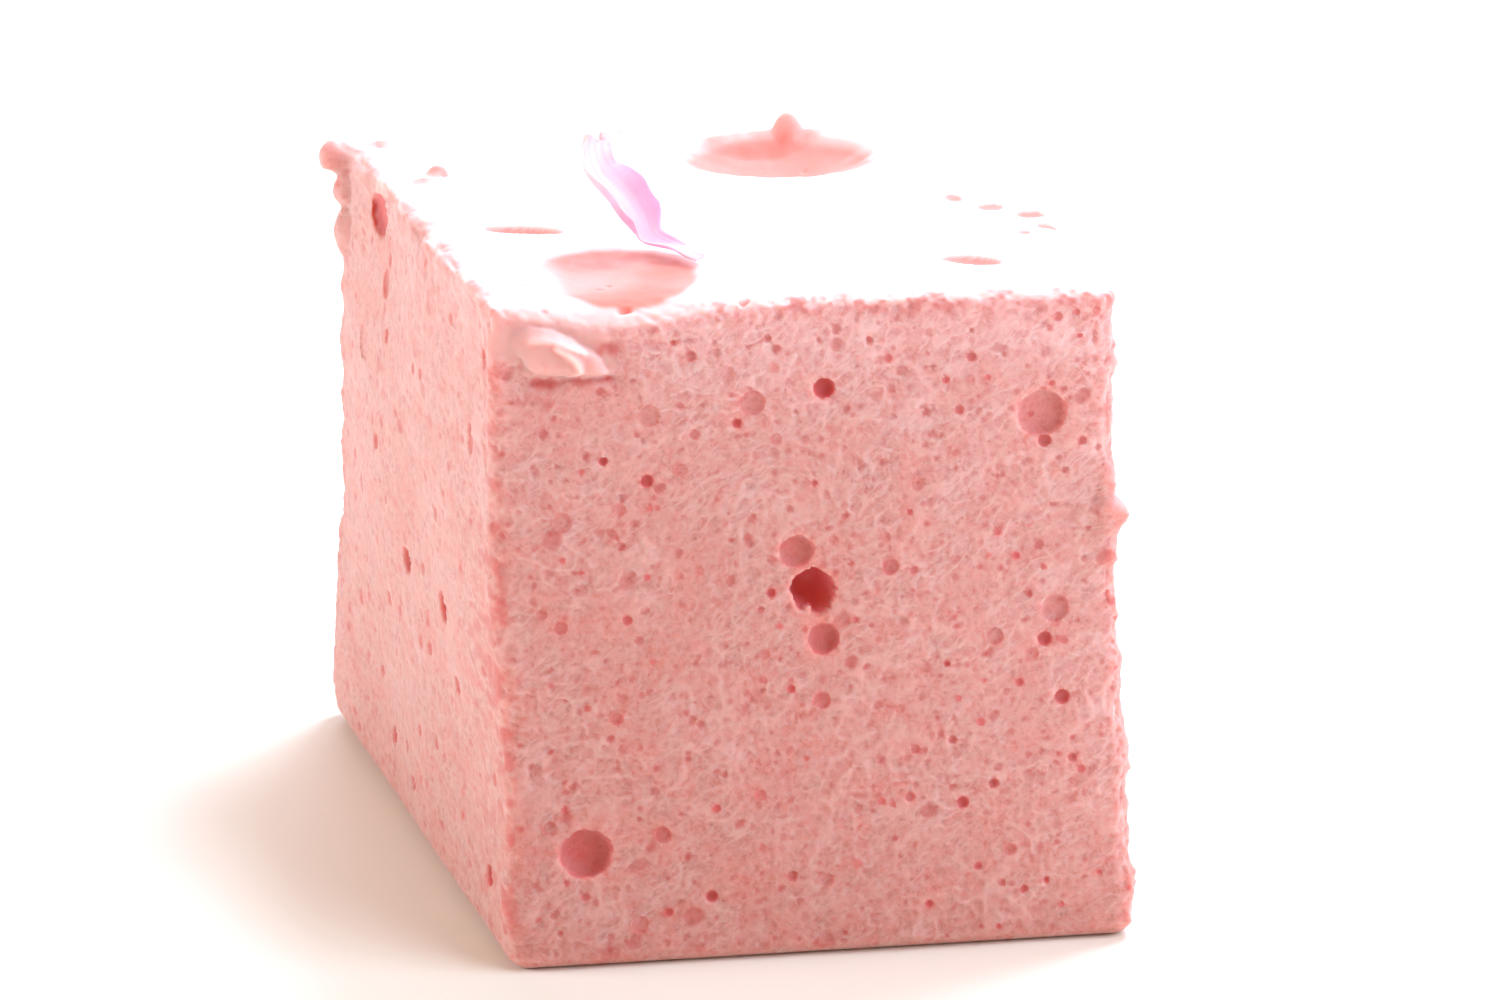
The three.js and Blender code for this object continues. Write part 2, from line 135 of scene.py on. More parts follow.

# ---- Lumps: middle on the skin, half sizes, the way they stand out, how far, tone of the painted shade
LUMPS = [
    ((-19.5, 20.6, 35.0), (1.3, 1.5, 1.4), (-1.0, 0.0, 0.0), 0.85, 0.0),
    ((-19.5, 20.3, 32.4), (1.3, 1.6, 1.8), (-1.0, 0.0, 0.1), 0.65, 0.0),
    ((-17.2, 21.2, 37.6), (1.4, 0.9, 0.8), (0.0, 0.0, 1.0), 0.5, 0.2),
    ((-18.4, -19.8, 39.3), (0.8, 0.7, 0.9), (-0.3, -0.4, 0.85), 0.6, 0.0),
    ((5.2, 14.6, 38.8), (5.4, 1.0, 1.6), (0.0, 0.1, 1.0), 0.45, 0.35),
    ((6.7, 14.9, 39.2), (0.95, 0.8, 1.9), (0.0, 0.0, 1.0), 1.0, 0.35),
    ((-15.5, 12.2, 38.5), (0.8, 0.6, 1.0), (0.0, 0.0, 1.0), 0.7, 0.6),
    ((-16.6, 10.7, 38.5), (1.0, 0.5, 0.9), (0.0, 0.0, 1.0), 0.35, 0.4),
]

# ---- Knob at the far left corner: a ball drawn out of the corner
KNOB_CORNER = np.array([-19.2, 21.1, 37.0])
KNOB_BASE = np.array([-18.95, 20.85, 36.75])
KNOB_CENTRE = np.array([-20.0, 20.8, 36.95])
KNOB_RADIUS, KNOB_REACH = 1.15, 1.6

# ---- Skin flap over the near left corner: lines across and up the front face
FLAP_OUT, FLAP_ROUND, FLAP_BEGINS = 0.85, 0.75, (-17.8, -15.4)
FLAP_JOINED, FLAP_JOINS = 0.6, (37.8, 38.8)
FLAP_OUTLINE = [
    (-18.3, 37.7), (-17.2, 37.1), (-16.6, 36.5), (-16.0, 36.05), (-14.9, 35.8), (-14.1, 35.7),
    (-13.6, 35.85), (-12.7, 35.8), (-11.85, 35.85), (-12.1, 36.4), (-12.7, 37.05), (-13.6, 37.8),
    (-14.8, 38.4), (-16.4, 38.9),
]
UPPER_FOLD = [(-16.3, 38.05), (-15.6, 38.15), (-14.7, 37.98), (-14.0, 37.65), (-13.3, 37.3)]
LOWER_FOLD = [(-14.9, 37.65), (-14.4, 37.4), (-14.0, 37.0), (-13.75, 36.6), (-13.6, 36.2),
              (-13.75, 35.9)]
UPPER_FOLD_OUT, LOWER_FOLD_OUT = 0.36, 0.38
# Width of the folds, and of the painted highlight along their crests
FOLD_WIDTH, FOLD_HIGHLIGHT_WIDTH = 0.22, 0.18
FLAP_SHADES = [
    # place across and up, reach across and up, depth, tone of the painted shade
    (-15.6, 35.3, 1.1, 0.42, 0.4, 0.75), (-13.3, 35.4, 0.8, 0.25, 0.35, 0.65),
    (-12.0, 35.5, 0.5, 0.24, 0.45, 1.0), (-11.9, 37.3, 1.0, 0.5, 0.3, 0.65),
    (-17.7, 36.0, 0.45, 0.5, 0.35, 0.45), (-16.9, 36.3, 0.3, 0.28, 0.2, 0.35),
    (-9.6, 37.6, 1.6, 0.45, 0.1, 0.22), (-16.2, 34.5, 0.6, 0.4, 0.1, 0.4),
]

# ---- Right front edge: a large tuft with a sharp upper side, and a foot that stands out
RIGHT_TUFT_TOP, RIGHT_TUFT_FULL, RIGHT_TUFT_END = 27.2, 26.4, 22.8
RIGHT_TUFT_OUT = 0.75
RIGHT_FOOT_TOP, RIGHT_FOOT_OUT = 5.0, 0.35


def smooth(value, low, high):
    share = np.clip((value - low) / (high - low), 0.0, 1.0)
    return share * share * (3.0 - 2.0 * share)


def unit(vector):
    return vector / np.linalg.norm(vector)


def hill(across, up, centre, reach):
    """1 at the centre, falling to 0 over the reach on both axes."""
    return np.exp(-((across - centre[0]) / reach[0]) ** 2 - ((up - centre[1]) / reach[1]) ** 2)


# ---- Seeded noise in space
HASH_AXES = [np.uint32(factor) for factor in (374761393, 668265263, 2246822519)]
HASH_STEPS = [(np.uint32(13), np.uint32(1274126177)), (np.uint32(15), np.uint32(2654435761))]
HASH_LAST = np.uint32(16)
SEED_FACTOR, SEED_START = 97531, 12345
FAR_AWAY = 99.0


def hash01(cells, seed):
    """A steady value between 0 and 1 for each whole-number place."""
    wrapped = cells.astype(np.int64).astype(np.uint32)
    mixed = sum(wrapped[:, axis] * factor for axis, factor in zip((X, Y, Z), HASH_AXES))
    mixed = mixed + np.uint32(seed * SEED_FACTOR + SEED_START)
    for bits, factor in HASH_STEPS:
        mixed = (mixed ^ (mixed >> bits)) * factor
    mixed ^= mixed >> HASH_LAST
    return mixed / 2.0 ** 32


def noise(points, size, seed):
    """Smooth noise between -1 and 1 with features of that size in millimetres."""
    place = points / size
    low = np.floor(place)
    share = place - low
    share = share * share * (3.0 - 2.0 * share)
    total = np.zeros(len(points))
    for corner in np.ndindex(2, 2, 2):
        weight = np.ones(len(points))
        for axis in (X, Y, Z):
            weight *= share[:, axis] if corner[axis] else 1.0 - share[:, axis]
        total += weight * hash01(low + corner, seed)
    return 2.0 * total - 1.0


def foam_cells(points, spacing, smallest, largest, share, seed):
    """Open cells of random radius: how deep each point lies in one, 0 to 1, and that cell's tone."""
    place = points / spacing
    home = np.floor(place)
    deepest = np.zeros(len(points))
    tone = np.zeros(len(points))
    for corner in np.ndindex(3, 3, 3):
        cell = home + corner - 1
        middle = cell + np.stack([hash01(cell, seed + axis) for axis in (X, Y, Z)], axis=1)
        radius = smallest + (largest - smallest) * hash01(cell, seed + 3) ** 2
        own = hash01(cell, seed + 4)
        distance = np.linalg.norm(place - middle, axis=1) * spacing / radius
        depth = np.sqrt(np.clip(1 - distance ** 2, 0, 1)) * (own < share)
        deeper = depth > deepest
        deepest[deeper] = depth[deeper]
        tone[deeper] = own[deeper] / share
    return deepest, tone


def cell_walls(points, size, width, seed):
    """1 on the walls of a foam of that cell size, 0 inside its cells."""
    place = points / size
    home = np.floor(place)
    first = np.full(len(points), FAR_AWAY)
    second = first.copy()
    for corner in np.ndindex(3, 3, 3):
        cell = home + corner - 1
        offset = np.stack([hash01(cell, seed + axis) for axis in (X, Y, Z)], axis=1)
        distance = np.linalg.norm(place - cell - offset, axis=1)
        second = np.minimum(second, np.maximum(first, distance))
        first = np.minimum(first, distance)
    return 1 - smooth(second - first, 0.0, width)


def line_distance(across, up, line):
    """Distance in a plane from points to a line of straight pieces."""
    nearest = np.full(len(across), FAR_AWAY)
    for start, end in zip(line[:-1], line[1:]):
        run = np.subtract(end, start)
        share = ((across - start[0]) * run[0] + (up - start[1]) * run[1]) / run.dot(run)
        share = np.clip(share, 0, 1)
        gap = np.hypot(across - start[0] - share * run[0], up - start[1] - share * run[1])
        nearest = np.minimum(nearest, gap)
    return nearest


def inside_distance(across, up, outline):
    """Distance to a closed outline, above 0 inside it and below 0 outside."""
    crossings = np.zeros(len(across), dtype=int)
    closed = outline + outline[:1]
    for (x0, y0), (x1, y1) in zip(closed[:-1], closed[1:]):
        spans = (up < y0) != (up < y1)
        meets = x0 + (up - y0) * (x1 - x0) / (y1 - y0 if y1 != y0 else 1.0)
        crossings += spans & (across < meets)
    return np.where(crossings % 2 == 1, 1, -1) * line_distance(across, up, closed)


def threads(points, size, width, seed):
    """1 along the thin crests of a noise of that size, 0 between them."""
    return 1 - smooth(np.abs(noise(points, size, seed)), 0.0, width)


# ---- Block surface
def between_corners(share):
    x, y, z = (share[:, axis:axis + 1] for axis in (X, Y, Z))

    def level(corners):
        near = corners[0, 0] * (1 - x) + corners[0, 1] * x
        far = corners[1, 0] * (1 - x) + corners[1, 1] * x
        return near * (1 - y) + far * y

    return level(BASE_CORNERS) * (1 - z) + level(TOP_CORNERS) * z


def block_surface(cube):
    """Places and outward directions of the block from points of the cube -1..1."""
    radius = EDGE_RADIUS_BASE + (EDGE_RADIUS_TOP - EDGE_RADIUS_BASE) * (cube[:, Z:] + 1) / 2
    box = cube * HALF_SIZE
    core = HALF_SIZE - radius
    inner = np.clip(box, -core, core)
    outward = box - inner
    outward /= np.linalg.norm(outward, axis=1, keepdims=True)
    rounded = (inner + radius * outward) / HALF_SIZE
    point = between_corners((rounded + 1) / 2)

    fade = 1 - rounded ** 2
    upward = np.maximum(outward[:, Z], 0)
    swell = (outward[:, X] ** 2 * FACE_SWELL[X] * fade[:, Y] * fade[:, Z]
             + outward[:, Y] ** 2 * FACE_SWELL[Y] * fade[:, X] * fade[:, Z]
             + upward ** 2 * FACE_SWELL[Z] * fade[:, X] * fade[:, Y])
    wave = np.zeros(len(point))
    for axis, length, start, up_length, up_start in WAVES:
        level = np.sin(point[:, axis] / length + start)
        wave += WAVE_HEIGHT * level * np.sin(point[:, Z] / up_length + up_start)
    side = (1 - outward[:, Z] ** 2) * np.clip(point[:, Z] / FOOT_HEIGHT, 0, 1)
    push = swell + wave * side
    lifted = outward * [1, 1, 0] + upward[:, None] * [0, 0, 1]
    point = point + lifted * push[:, None]
    sag = hill(point[:, X], point[:, Y], SAG_CENTRE, SAG_REACH)
    point[:, Z] -= SAG_DEPTH * sag * np.clip((point[:, Z] - SAG_FROM_HEIGHT) / SAG_FULL_OVER, 0, 1)
    return point, outward


def place_on_face(name, across, up):
    """Where a face passes the two given coordinates."""
    looks, way, *plane = FACES[name]
    cube = np.zeros((1, 3))
    cube[0, looks] = way
    for _ in range(PLACING_ROUNDS):
        point = block_surface(cube)[0]
        for axis, wanted in zip(plane, (across, up)):
            cube[0, axis] += (wanted - point[0, axis]) / HALF_SIZE[axis]
    return block_surface(cube)[0][0]


def face_corners(name, grid):
    """The four corners of each small face of a grid, in the order that faces outward."""
    corners = [grid[:-1, :-1], grid[1:, :-1], grid[1:, 1:], grid[:-1, 1:]]
    return corners if FACES[name][1] > 0 else corners[::-1]


class Lattice:
    """One closed net of points over the six faces of the cube, with shared edges."""

    def __init__(self, step):
        self.counts = np.round(2 * HALF_SIZE / step).astype(int)
        grids = {}
        keys = []
        for name, (looks, way, *_) in FACES.items():
            first, second = (looks + 1) % 3, (looks + 2) % 3
            run, rise = np.meshgrid(np.arange(self.counts[first] + 1),
                                    np.arange(self.counts[second] + 1), indexing="ij")
            place = np.zeros(run.shape + (3,), dtype=np.int64)
            place[..., first] = run
            place[..., second] = rise
            place[..., looks] = self.counts[looks] if way > 0 else 0
            grids[name] = (len(keys), run.shape)
            keys.append(self.key(place).ravel())
        unique, back = np.unique(np.concatenate(keys), return_inverse=True)
        self.grids = {}
        start = 0
        for name, (index, shape) in grids.items():
            size = shape[0] * shape[1]
            self.grids[name] = back[start:start + size].reshape(shape)
            start += size
        rows, levels = self.counts[Y] + 1, self.counts[Z] + 1
        place = np.stack([unique // (rows * levels), unique // levels % rows, unique % levels], 1)
        self.cube = 2.0 * place / self.counts - 1.0

    def key(self, place):
        rows, levels = self.counts[Y] + 1, self.counts[Z] + 1
        return (place[..., X] * rows + place[..., Y]) * levels + place[..., Z]

    def quads(self):
        return np.concatenate([
            np.stack([corner.ravel() for corner in face_corners(name, grid)], axis=1)
            for name, grid in self.grids.items()])


# ---- Foam. Lengths are in millimetres
EDGE_REACH = 1.3
DEPTH_STRETCH = np.array([1.0, 0.62, 1.0])
NOISES = {
    # what it shapes: rows of share, size and seed
    "drift": [(1.3, 6.0, 31), (0.3, 1.7, 34)],
    "drape_edge": [(0.5, 0.9, 5)],
    "drape_grain": [(0.3, 0.5, 7)],
    "lump": [(1.0, 1.7, 47)],
    "thread_strength": [(1.0, 3.1, 17)],
    "ring_bend": [(0.5, 1.6, 93)],
    "ring_gaps": [(1.0, 2.0, 95)],
    "side_patches": [(0.6, 0.8, 113), (0.4, 0.4, 115)],
    "skin_waves": [(0.03, 2.2, 53)],
    "skin_grain": [(0.6, 0.42, 57), (0.4, 0.3, 59)],
    "rim_grain_shade": [(1.0, 0.55, 79)],
    "tuft_line": [(0.55, 1.3, 61)],
    "tuft": [(0.25, 0.9, 63), (0.2, 0.4, 65)],
    "foot_crumbs": [(0.6, 1.5, 103), (0.4, 0.6, 105)],
    "flakes": [(0.45, 1.6, 67), (0.35, 0.8, 71), (0.2, 0.4, 69)],
    "rim_gaps": [(1.0, 0.7, 77)],
    "wide_rim_gaps": [(1.0, 0.45, 117)],
    "flecks": [(0.6, 0.55, 97), (0.4, 0.3, 99)],
    "teeth_line": [(0.6, 0.45, 73)],
    "teeth": [(0.4, 0.35, 75)],
    "bites": [(0.55, 0.3, 109), (0.45, 0.9, 111)],
    "flap": [(0.14, 0.9, 87), (0.07, 0.4, 89)],
    "flap_shade": [(1.0, 0.55, 107)],
    "lump_form": [(0.12, 0.9, 83), (0.06, 0.4, 85)],
    "knob": [(0.06, 0.6, 81)],
    "hollow_edge": [(0.03, 0.8, 91)],
}

# Drape of the skin over the near left corner: where it begins, its lower rim, and its top. The draped
# skin and the sagging top corner are coloured with painted shade
DRAPE_ACROSS, DRAPE_BACK = (11.0, 12.6), (19.6, 20.6)
DRAPE_LOW, DRAPE_SOFT, DRAPE_LIFT, DRAPE_LIFT_ACROSS = 35.9, 0.15, 1.2, (16.6, 18.0)
DRAPE_CENTRE, DRAPE_REACH, TOP_DRAPE_SHADE = (-12.0, -20.0), (7.5, 2.6), 0.6

# Open cells: spacing, smallest and largest radius, share of places filled, steepness, seed
CELL_LAYERS = [(1.7, 0.26, 0.62, 0.5, 0.22, 101), (0.8, 0.16, 0.34, 0.8, 0.34, 111)]
CELL_FLOW, WALL_FLOW = 0.25, 0.35
LUMP_HEIGHT = 0.07
# Threads and walls of the net: size, width and seed; then all heights, and shares in the veil
COARSE_THREADS, FINE_THREADS = (1.0, 0.2, 41), (0.5, 0.28, 43)
WALLS, FINE_WALLS = (0.78, 0.3, 61), (0.45, 0.42, 67)
NET_HEIGHTS, VEIL_SHARES = (0.05, 0.03, 0.05, 0.04), (0.65, 0.35, 0.25, 0.2)
STREAK, STREAK_STRETCH = np.array([0.62, 0.62, 0.48]), 3.0
SWIRL_CENTRE, SWIRL_REACH, SWIRL_TURN = (-1.8, 27.2), 3.6, 1.7
RING_SPACING, RING_REACH, EYE_RADIUS = 0.75, 2.2, 1.1

# Tones of the cut faces: a mottled strip on the left face; and painted light, which makes the upper
# parts and the right part paler
NEAR_STRIP_AT, NEAR_STRIP, TOP_STRIP = -20.0, 5.5, 3.0
TOP_GLOW_REACH, RIM_BAND = 5.5, 0.8
RIGHT_LIGHT_SHARE, RIGHT_LIGHT_ACROSS, RIGHT_LIGHT_UP = 0.28, (-2.0, 17.0), (2.0, 16.0)

# Skin, torn edges and rims
SKIN_SUNK, SKIN_RIM_FRONT, SKIN_RIM_LEFT = 0.07, 2.0, 3.5
TUFT_LINE, TUFT_SHARE, RIGHT_TUFT_SHARE = 40, 0.55, 0.85
WAIST_IN, WAIST_FROM, WAIST_TO = 0.3, (3.0, 6.0), (-21.0, -18.0)
FOOT_EDGE_REACH, FOOT_CRUMB_HEIGHT = 1.6, 0.3
FLAKE_STRETCH, FLAKE_HEIGHT, WIDE_RIM_REACH = np.array([1.0, 0.35, 1.0]), 0.5, 2.8
FLECK_REACH, FLECK_SHARE = 2.0, 0.25
TEETH_HEIGHT, CRUMB_HEIGHT, CRUMBLY_FROM = 0.12, 0.1, (-9.0, -5.0)

# Bubbles. Lengths within a bubble are counted in its own openings
MOST_ROOM, LEAST_ROOM, CLEAR_OF_LISTED, GATHER_SHARE = 2.0, 1.12, 1.25, 0.42
POT_SHAPE, RAGGED_DEPTH, CLEARED_OVER = 2.8, 0.5, 0.35
WOBBLE_TURNS, WOBBLE_WEIGHTS = (2, 5, 8, 13), (1.0, 1.5, 2.0, 2.6)
RAGGED, FRONT_RAGGED, DEEP_RAGGED, SALMON_RAGGED, SCATTERED_RAGGED = 0.06, 0.045, 0.055, 0.1, 0.03
SOFT_OPENINGS, SOFT_RIMS = (0.3, 0.9), (0.6, 0.15)
SMALL_OPENING, SMALL_DEPTH, LARGE_DEPTH = 0.6, 0.6, 0.85
EVEN_MARGIN = 1.2
UNSEEN = ("back", "right")
SCATTERED = [
    # face, bubbles a square millimetre, smallest and largest opening, depth, tone of the painted
    # shade, margin
    ("front", 0.045, 0.18, 0.32, (0.6, 1.3), 0.7, EVEN_MARGIN),
    ("front", 0.02, 0.3, 0.6, (0.3, 0.6), 0.25, EVEN_MARGIN),
    ("left", 0.03, 0.3, 0.6, (0.2, 0.5), 0.3, EVEN_MARGIN),
    *[(face, 0.06, 0.16, 0.34, (0.8, 1.8), 0.55, EVEN_MARGIN) for face in UNSEEN],
    *[(face, *row) for face in UNSEEN for row in ((0.02, 0.35, 0.9, (0.6, 1.3), 0.6, 3.0),
                                                  (0.004, 0.8, 1.5, (0.7, 1.1), 0.6, 4.0))],
    ("top", 0.05, 0.12, 0.26, (0.5, 1.0), 0.3, EVEN_MARGIN),
]
rng = np.random.default_rng(2307)


def layered(points, name, shift=0):
    """A named sum of noises."""
    return sum(share * noise(points, size, seed + shift) for share, size, seed in NOISES[name])


def at_least(least, value):
    return least + (1 - least) * value


def streaked(points):
    """Points in the space where the drawn-out foam would be even."""
    drift = np.stack([layered(points, "drift", axis) for axis in (X, Y, Z)], axis=1)
    aside = points[:, [X, Z]] - SWIRL_CENTRE
    turn = SWIRL_TURN * np.exp(-(aside ** 2).sum(axis=1) / SWIRL_REACH ** 2)
    cos, sin = np.cos(turn), np.sin(turn)
    spun = points + drift
    spun[:, X] = SWIRL_CENTRE[0] + cos * aside[:, 0] - sin * aside[:, 1] + drift[:, X]
    spun[:, Z] = SWIRL_CENTRE[1] + sin * aside[:, 0] + cos * aside[:, 1] + drift[:, Z]
    along = unit(STREAK)
    return spun - np.outer(spun @ along, along) * (1 - 1 / STREAK_STRETCH)


class Foam:
    """The block's net of points, with how far each stands out and how it is coloured."""

    def __init__(self):
        self.lattice = Lattice(LATTICE_STEP)
        self.point, self.outward = block_surface(self.lattice.cube)
        self.bare = self.point.copy()
        self.box = self.lattice.cube * HALF_SIZE
        self.skin = smooth(self.outward[:, Z], 0.35, 0.8)
        self.cut = 1 - smooth(-self.outward[:, Z], 0.1, 0.6)
        self.left = smooth(-self.outward[:, X], 0.2, 0.7)
        self.relief, self.painted_shade, self.ridge, self.cell = np.zeros((4, len(self.point)))
        self.below = place_on_face("top", 0.0, 0.0)[Z] - self.bare[:, Z]

    def near_top(self, reach):
        return np.exp(-np.maximum(self.below, 0) / reach)

    def edge(self, first, second, first_sign=0, second_sign=0, reach=EDGE_REACH):
        """1 on the edge between two faces, falling to 0 over that reach."""
        total = 0.0
        for axis, sign in ((first, first_sign), (second, second_sign)):
            place = self.box[:, axis]
            total += (HALF_SIZE[axis] - (place * sign if sign else np.abs(place))) ** 2
        return np.exp(-total / reach ** 2)

    def drape(self):
        """The skin also covers the sagging near left corner, down to the torn flap; there and on the
        sagging top corner it takes painted shade.
        """
        x, y, z = self.bare.T
        on_front = smooth(-self.outward[:, Y], 0.3, 0.8) * smooth(-x, *DRAPE_ACROSS)
        on_left = smooth(-self.outward[:, X], 0.3, 0.8) * smooth(-y, *DRAPE_BACK)
        low = DRAPE_LOW + layered(self.bare, "drape_edge")
        low += DRAPE_LIFT * smooth(-x, *DRAPE_LIFT_ACROSS)
        draped = np.clip(on_front + on_left, 0, 1) * smooth(z, low - DRAPE_SOFT, low + DRAPE_SOFT)
        corner = hill(x, y, DRAPE_CENTRE, DRAPE_REACH) * self.skin
        grainy = 0.85 + layered(self.bare, "drape_grain")
        # Painted shade: a pinker colour on the draped skin and on the sagging top corner
        self.drape_shade = draped * (1 - self.skin) + TOP_DRAPE_SHADE * corner * grainy
        self.skin = np.maximum(self.skin, draped)

    def cut_faces(self):
        """Open cells, pale threads and lumps of the cut foam, drawn out along the pour."""
        cut = (1 - self.skin) * self.cut
        mask = cut > 0.001
        at = self.bare[mask] * DEPTH_STRETCH
        flowed = streaked(at)
        relief = LUMP_HEIGHT * (layered(at, "lump") - 1)
        cell = np.zeros(len(at))
        for spacing, smallest, largest, share, steep, seed in CELL_LAYERS:
            places = at + CELL_FLOW * (flowed - at)
            deep, tone = foam_cells(places, spacing, smallest, largest, share, seed)
            relief -= steep * 0.5 * (smallest + largest) * deep * at_least(0.35, tone)
            # Painted shade: the cell hollows are coloured a darker red
            cell = np.maximum(cell, smooth(deep, 0.0, 0.7) * at_least(0.15, tone ** 2))
        strength = smooth(layered(at, "thread_strength"), -0.7, 0.5)
        loose = at + WALL_FLOW * (flowed - at)
        net = np.array([threads(flowed, *COARSE_THREADS) * strength,
                        threads(flowed, *FINE_THREADS) * at_least(0.5, strength),
                        cell_walls(loose, *WALLS) * at_least(0.4, strength),
                        cell_walls(loose, *FINE_WALLS)])
        relief += NET_HEIGHTS @ net - sum(NET_HEIGHTS[2:])
        self.relief[mask] += relief * cut[mask] * (1 - 0.45 * self.left[mask])
        self.ridge[mask] = np.clip(VEIL_SHARES @ net + self.swirl(at), 0, 1)
        self.cell[mask] = cell * (1 - 0.6 * net[0])

    def swirl(self, at):
        """Pale rings round the eye of the swirl."""
        aside = np.hypot(at[:, X] - SWIRL_CENTRE[0], at[:, Z] - SWIRL_CENTRE[1])
        turns = (aside + layered(at, "ring_bend")) / RING_SPACING
        rings = (0.5 + 0.5 * np.cos(2 * math.pi * turns)) ** 3
        rings *= np.exp(-((aside - RING_REACH) / RING_REACH) ** 2)
        rings *= smooth(layered(at, "ring_gaps"), -0.4, 0.4)
        return 0.6 * rings + 0.7 * np.exp(-(aside / EYE_RADIUS) ** 2)

    def cut_tones_and_painted_light(self):
        """Where the cut faces are mottled or finely dotted, and where painted light makes them paler.
        """
        x, y, z = self.bare.T
        strip = self.left * np.maximum(np.exp(-((y - NEAR_STRIP_AT) / NEAR_STRIP) ** 2),
                                       0.8 * self.near_top(TOP_STRIP))
        patches = smooth(layered(self.bare * DEPTH_STRETCH, "side_patches"), 0.0, 0.4)
        self.cell = np.maximum(self.cell, 0.75 * strip * patches)
        self.fine = 1 - 0.6 * self.left + 0.4 * strip
        # Painted light: fewer fine dots near the top, and below, paler towards the top and towards
        # the right
        self.fine *= 1 - 0.4 * (1 - self.left) * self.near_top(TOP_GLOW_REACH)
        pale = np.exp(-self.below / TOP_GLOW_REACH) * (1 - 0.6 * self.left)
        pale += RIGHT_LIGHT_SHARE * smooth(x, *RIGHT_LIGHT_ACROSS) * smooth(z, *RIGHT_LIGHT_UP)
        self.pale = np.clip(pale * (1 - self.skin), 0, 1) * (1 - 0.5 * self.near_top(RIM_BAND))

    def skin_face(self):
        """Low waves of the poured skin, with grain along its rim, and small pink spots there as
        painted shade of that grain.
        """
        rim = np.maximum(self.edge(Y, Z, -1, 1, SKIN_RIM_FRONT),
                         self.edge(X, Z, -1, 1, SKIN_RIM_LEFT))
        rough = layered(self.bare, "skin_waves")
        rough += (0.008 + 0.06 * rim) * layered(self.bare, "skin_grain")
        self.relief += (rough - SKIN_SUNK) * self.skin * self.cut
        # Painted shade: small pink spots of the grainy skin along its rim
        crumbs = smooth(layered(self.bare, "rim_grain_shade"), 0.25, 0.6) * rim
        self.cell = np.maximum(self.cell, 0.5 * crumbs * self.skin)

    def upright_edges(self):
        """Tufts where the knife dragged the foam out along the upright edges."""
        x, y, z = self.bare.T
        line = np.stack([np.sign(x) * TUFT_LINE, np.sign(y) * TUFT_LINE, z], axis=1)
        tuft = np.clip(layered(line, "tuft_line") + layered(self.bare, "tuft"), -0.8, 0.9)
        right_front = (x > 0) & (y < 0)
        out = np.where(right_front, RIGHT_TUFT_SHARE, TUFT_SHARE) * tuft
        large = smooth(-z, -RIGHT_TUFT_TOP, -RIGHT_TUFT_FULL)
        large *= np.clip((z - RIGHT_TUFT_END) / (RIGHT_TUFT_FULL - RIGHT_TUFT_END), 0, 1)
        foot = smooth(-z, -RIGHT_FOOT_TOP, 0.0)
        waist = smooth(z, *WAIST_FROM) * smooth(-z, *WAIST_TO)
        out += right_front * (RIGHT_TUFT_OUT * large + RIGHT_FOOT_OUT * foot - WAIST_IN * waist)
        self.relief += self.edge(X, Y) * (1 - self.skin) * self.cut * out

    def rims(self):
        """Crumbs along the foot, and the torn left rim of the skin with flecks under it."""
        foot = np.maximum(self.edge(X, Z, 0, -1, FOOT_EDGE_REACH),
                          self.edge(Y, Z, 0, -1, FOOT_EDGE_REACH))
        self.relief += FOOT_CRUMB_HEIGHT * foot * layered(self.bare, "foot_crumbs") * self.cut
        rim = self.edge(X, Z, -1, 1)
        drawn = self.bare * FLAKE_STRETCH
        self.relief += rim * FLAKE_HEIGHT * np.clip(layered(drawn, "flakes"), -0.7, 0.7)
        self.skin *= 1 - 0.8 * rim * smooth(layered(drawn, "rim_gaps"), -0.3, 0.3)
        wide_rim = self.edge(X, Z, -1, 1, WIDE_RIM_REACH)
        self.skin *= 1 - 0.6 * wide_rim * smooth(layered(drawn, "wide_rim_gaps"), 0.0, 0.45)
        under = np.exp(-(HALF_SIZE[Z] - self.box[:, Z]) / FLECK_REACH)
        fleck = smooth(layered(drawn, "flecks") + 0.5 * under, 0.25, 0.7)
        self.skin = np.maximum(self.skin, self.left * under * fleck * FLECK_SHARE)

    def front_rim(self):
        """Small teeth and crumbs where the knife pulled at the front rim of the skin."""
        x, y, z = self.bare.T
        rim = self.edge(Y, Z, -1, 1)
        slanted = np.stack([x + 0.9 * y, 0 * x, 0.3 * z], axis=1)
        teeth = layered(slanted, "teeth_line") + layered(self.bare, "teeth")
        crumbly = smooth(x, *CRUMBLY_FROM) * rim
        bitten = layered(self.bare, "bites")
        self.relief += TEETH_HEIGHT * rim * teeth + CRUMB_HEIGHT * crumbly * bitten
        self.skin *= 1 - 0.8 * crumbly * smooth(bitten, -0.05, 0.3)
        self.cell = np.maximum(self.cell, 0.8 * crumbly * smooth(bitten, -0.05, 0.4))

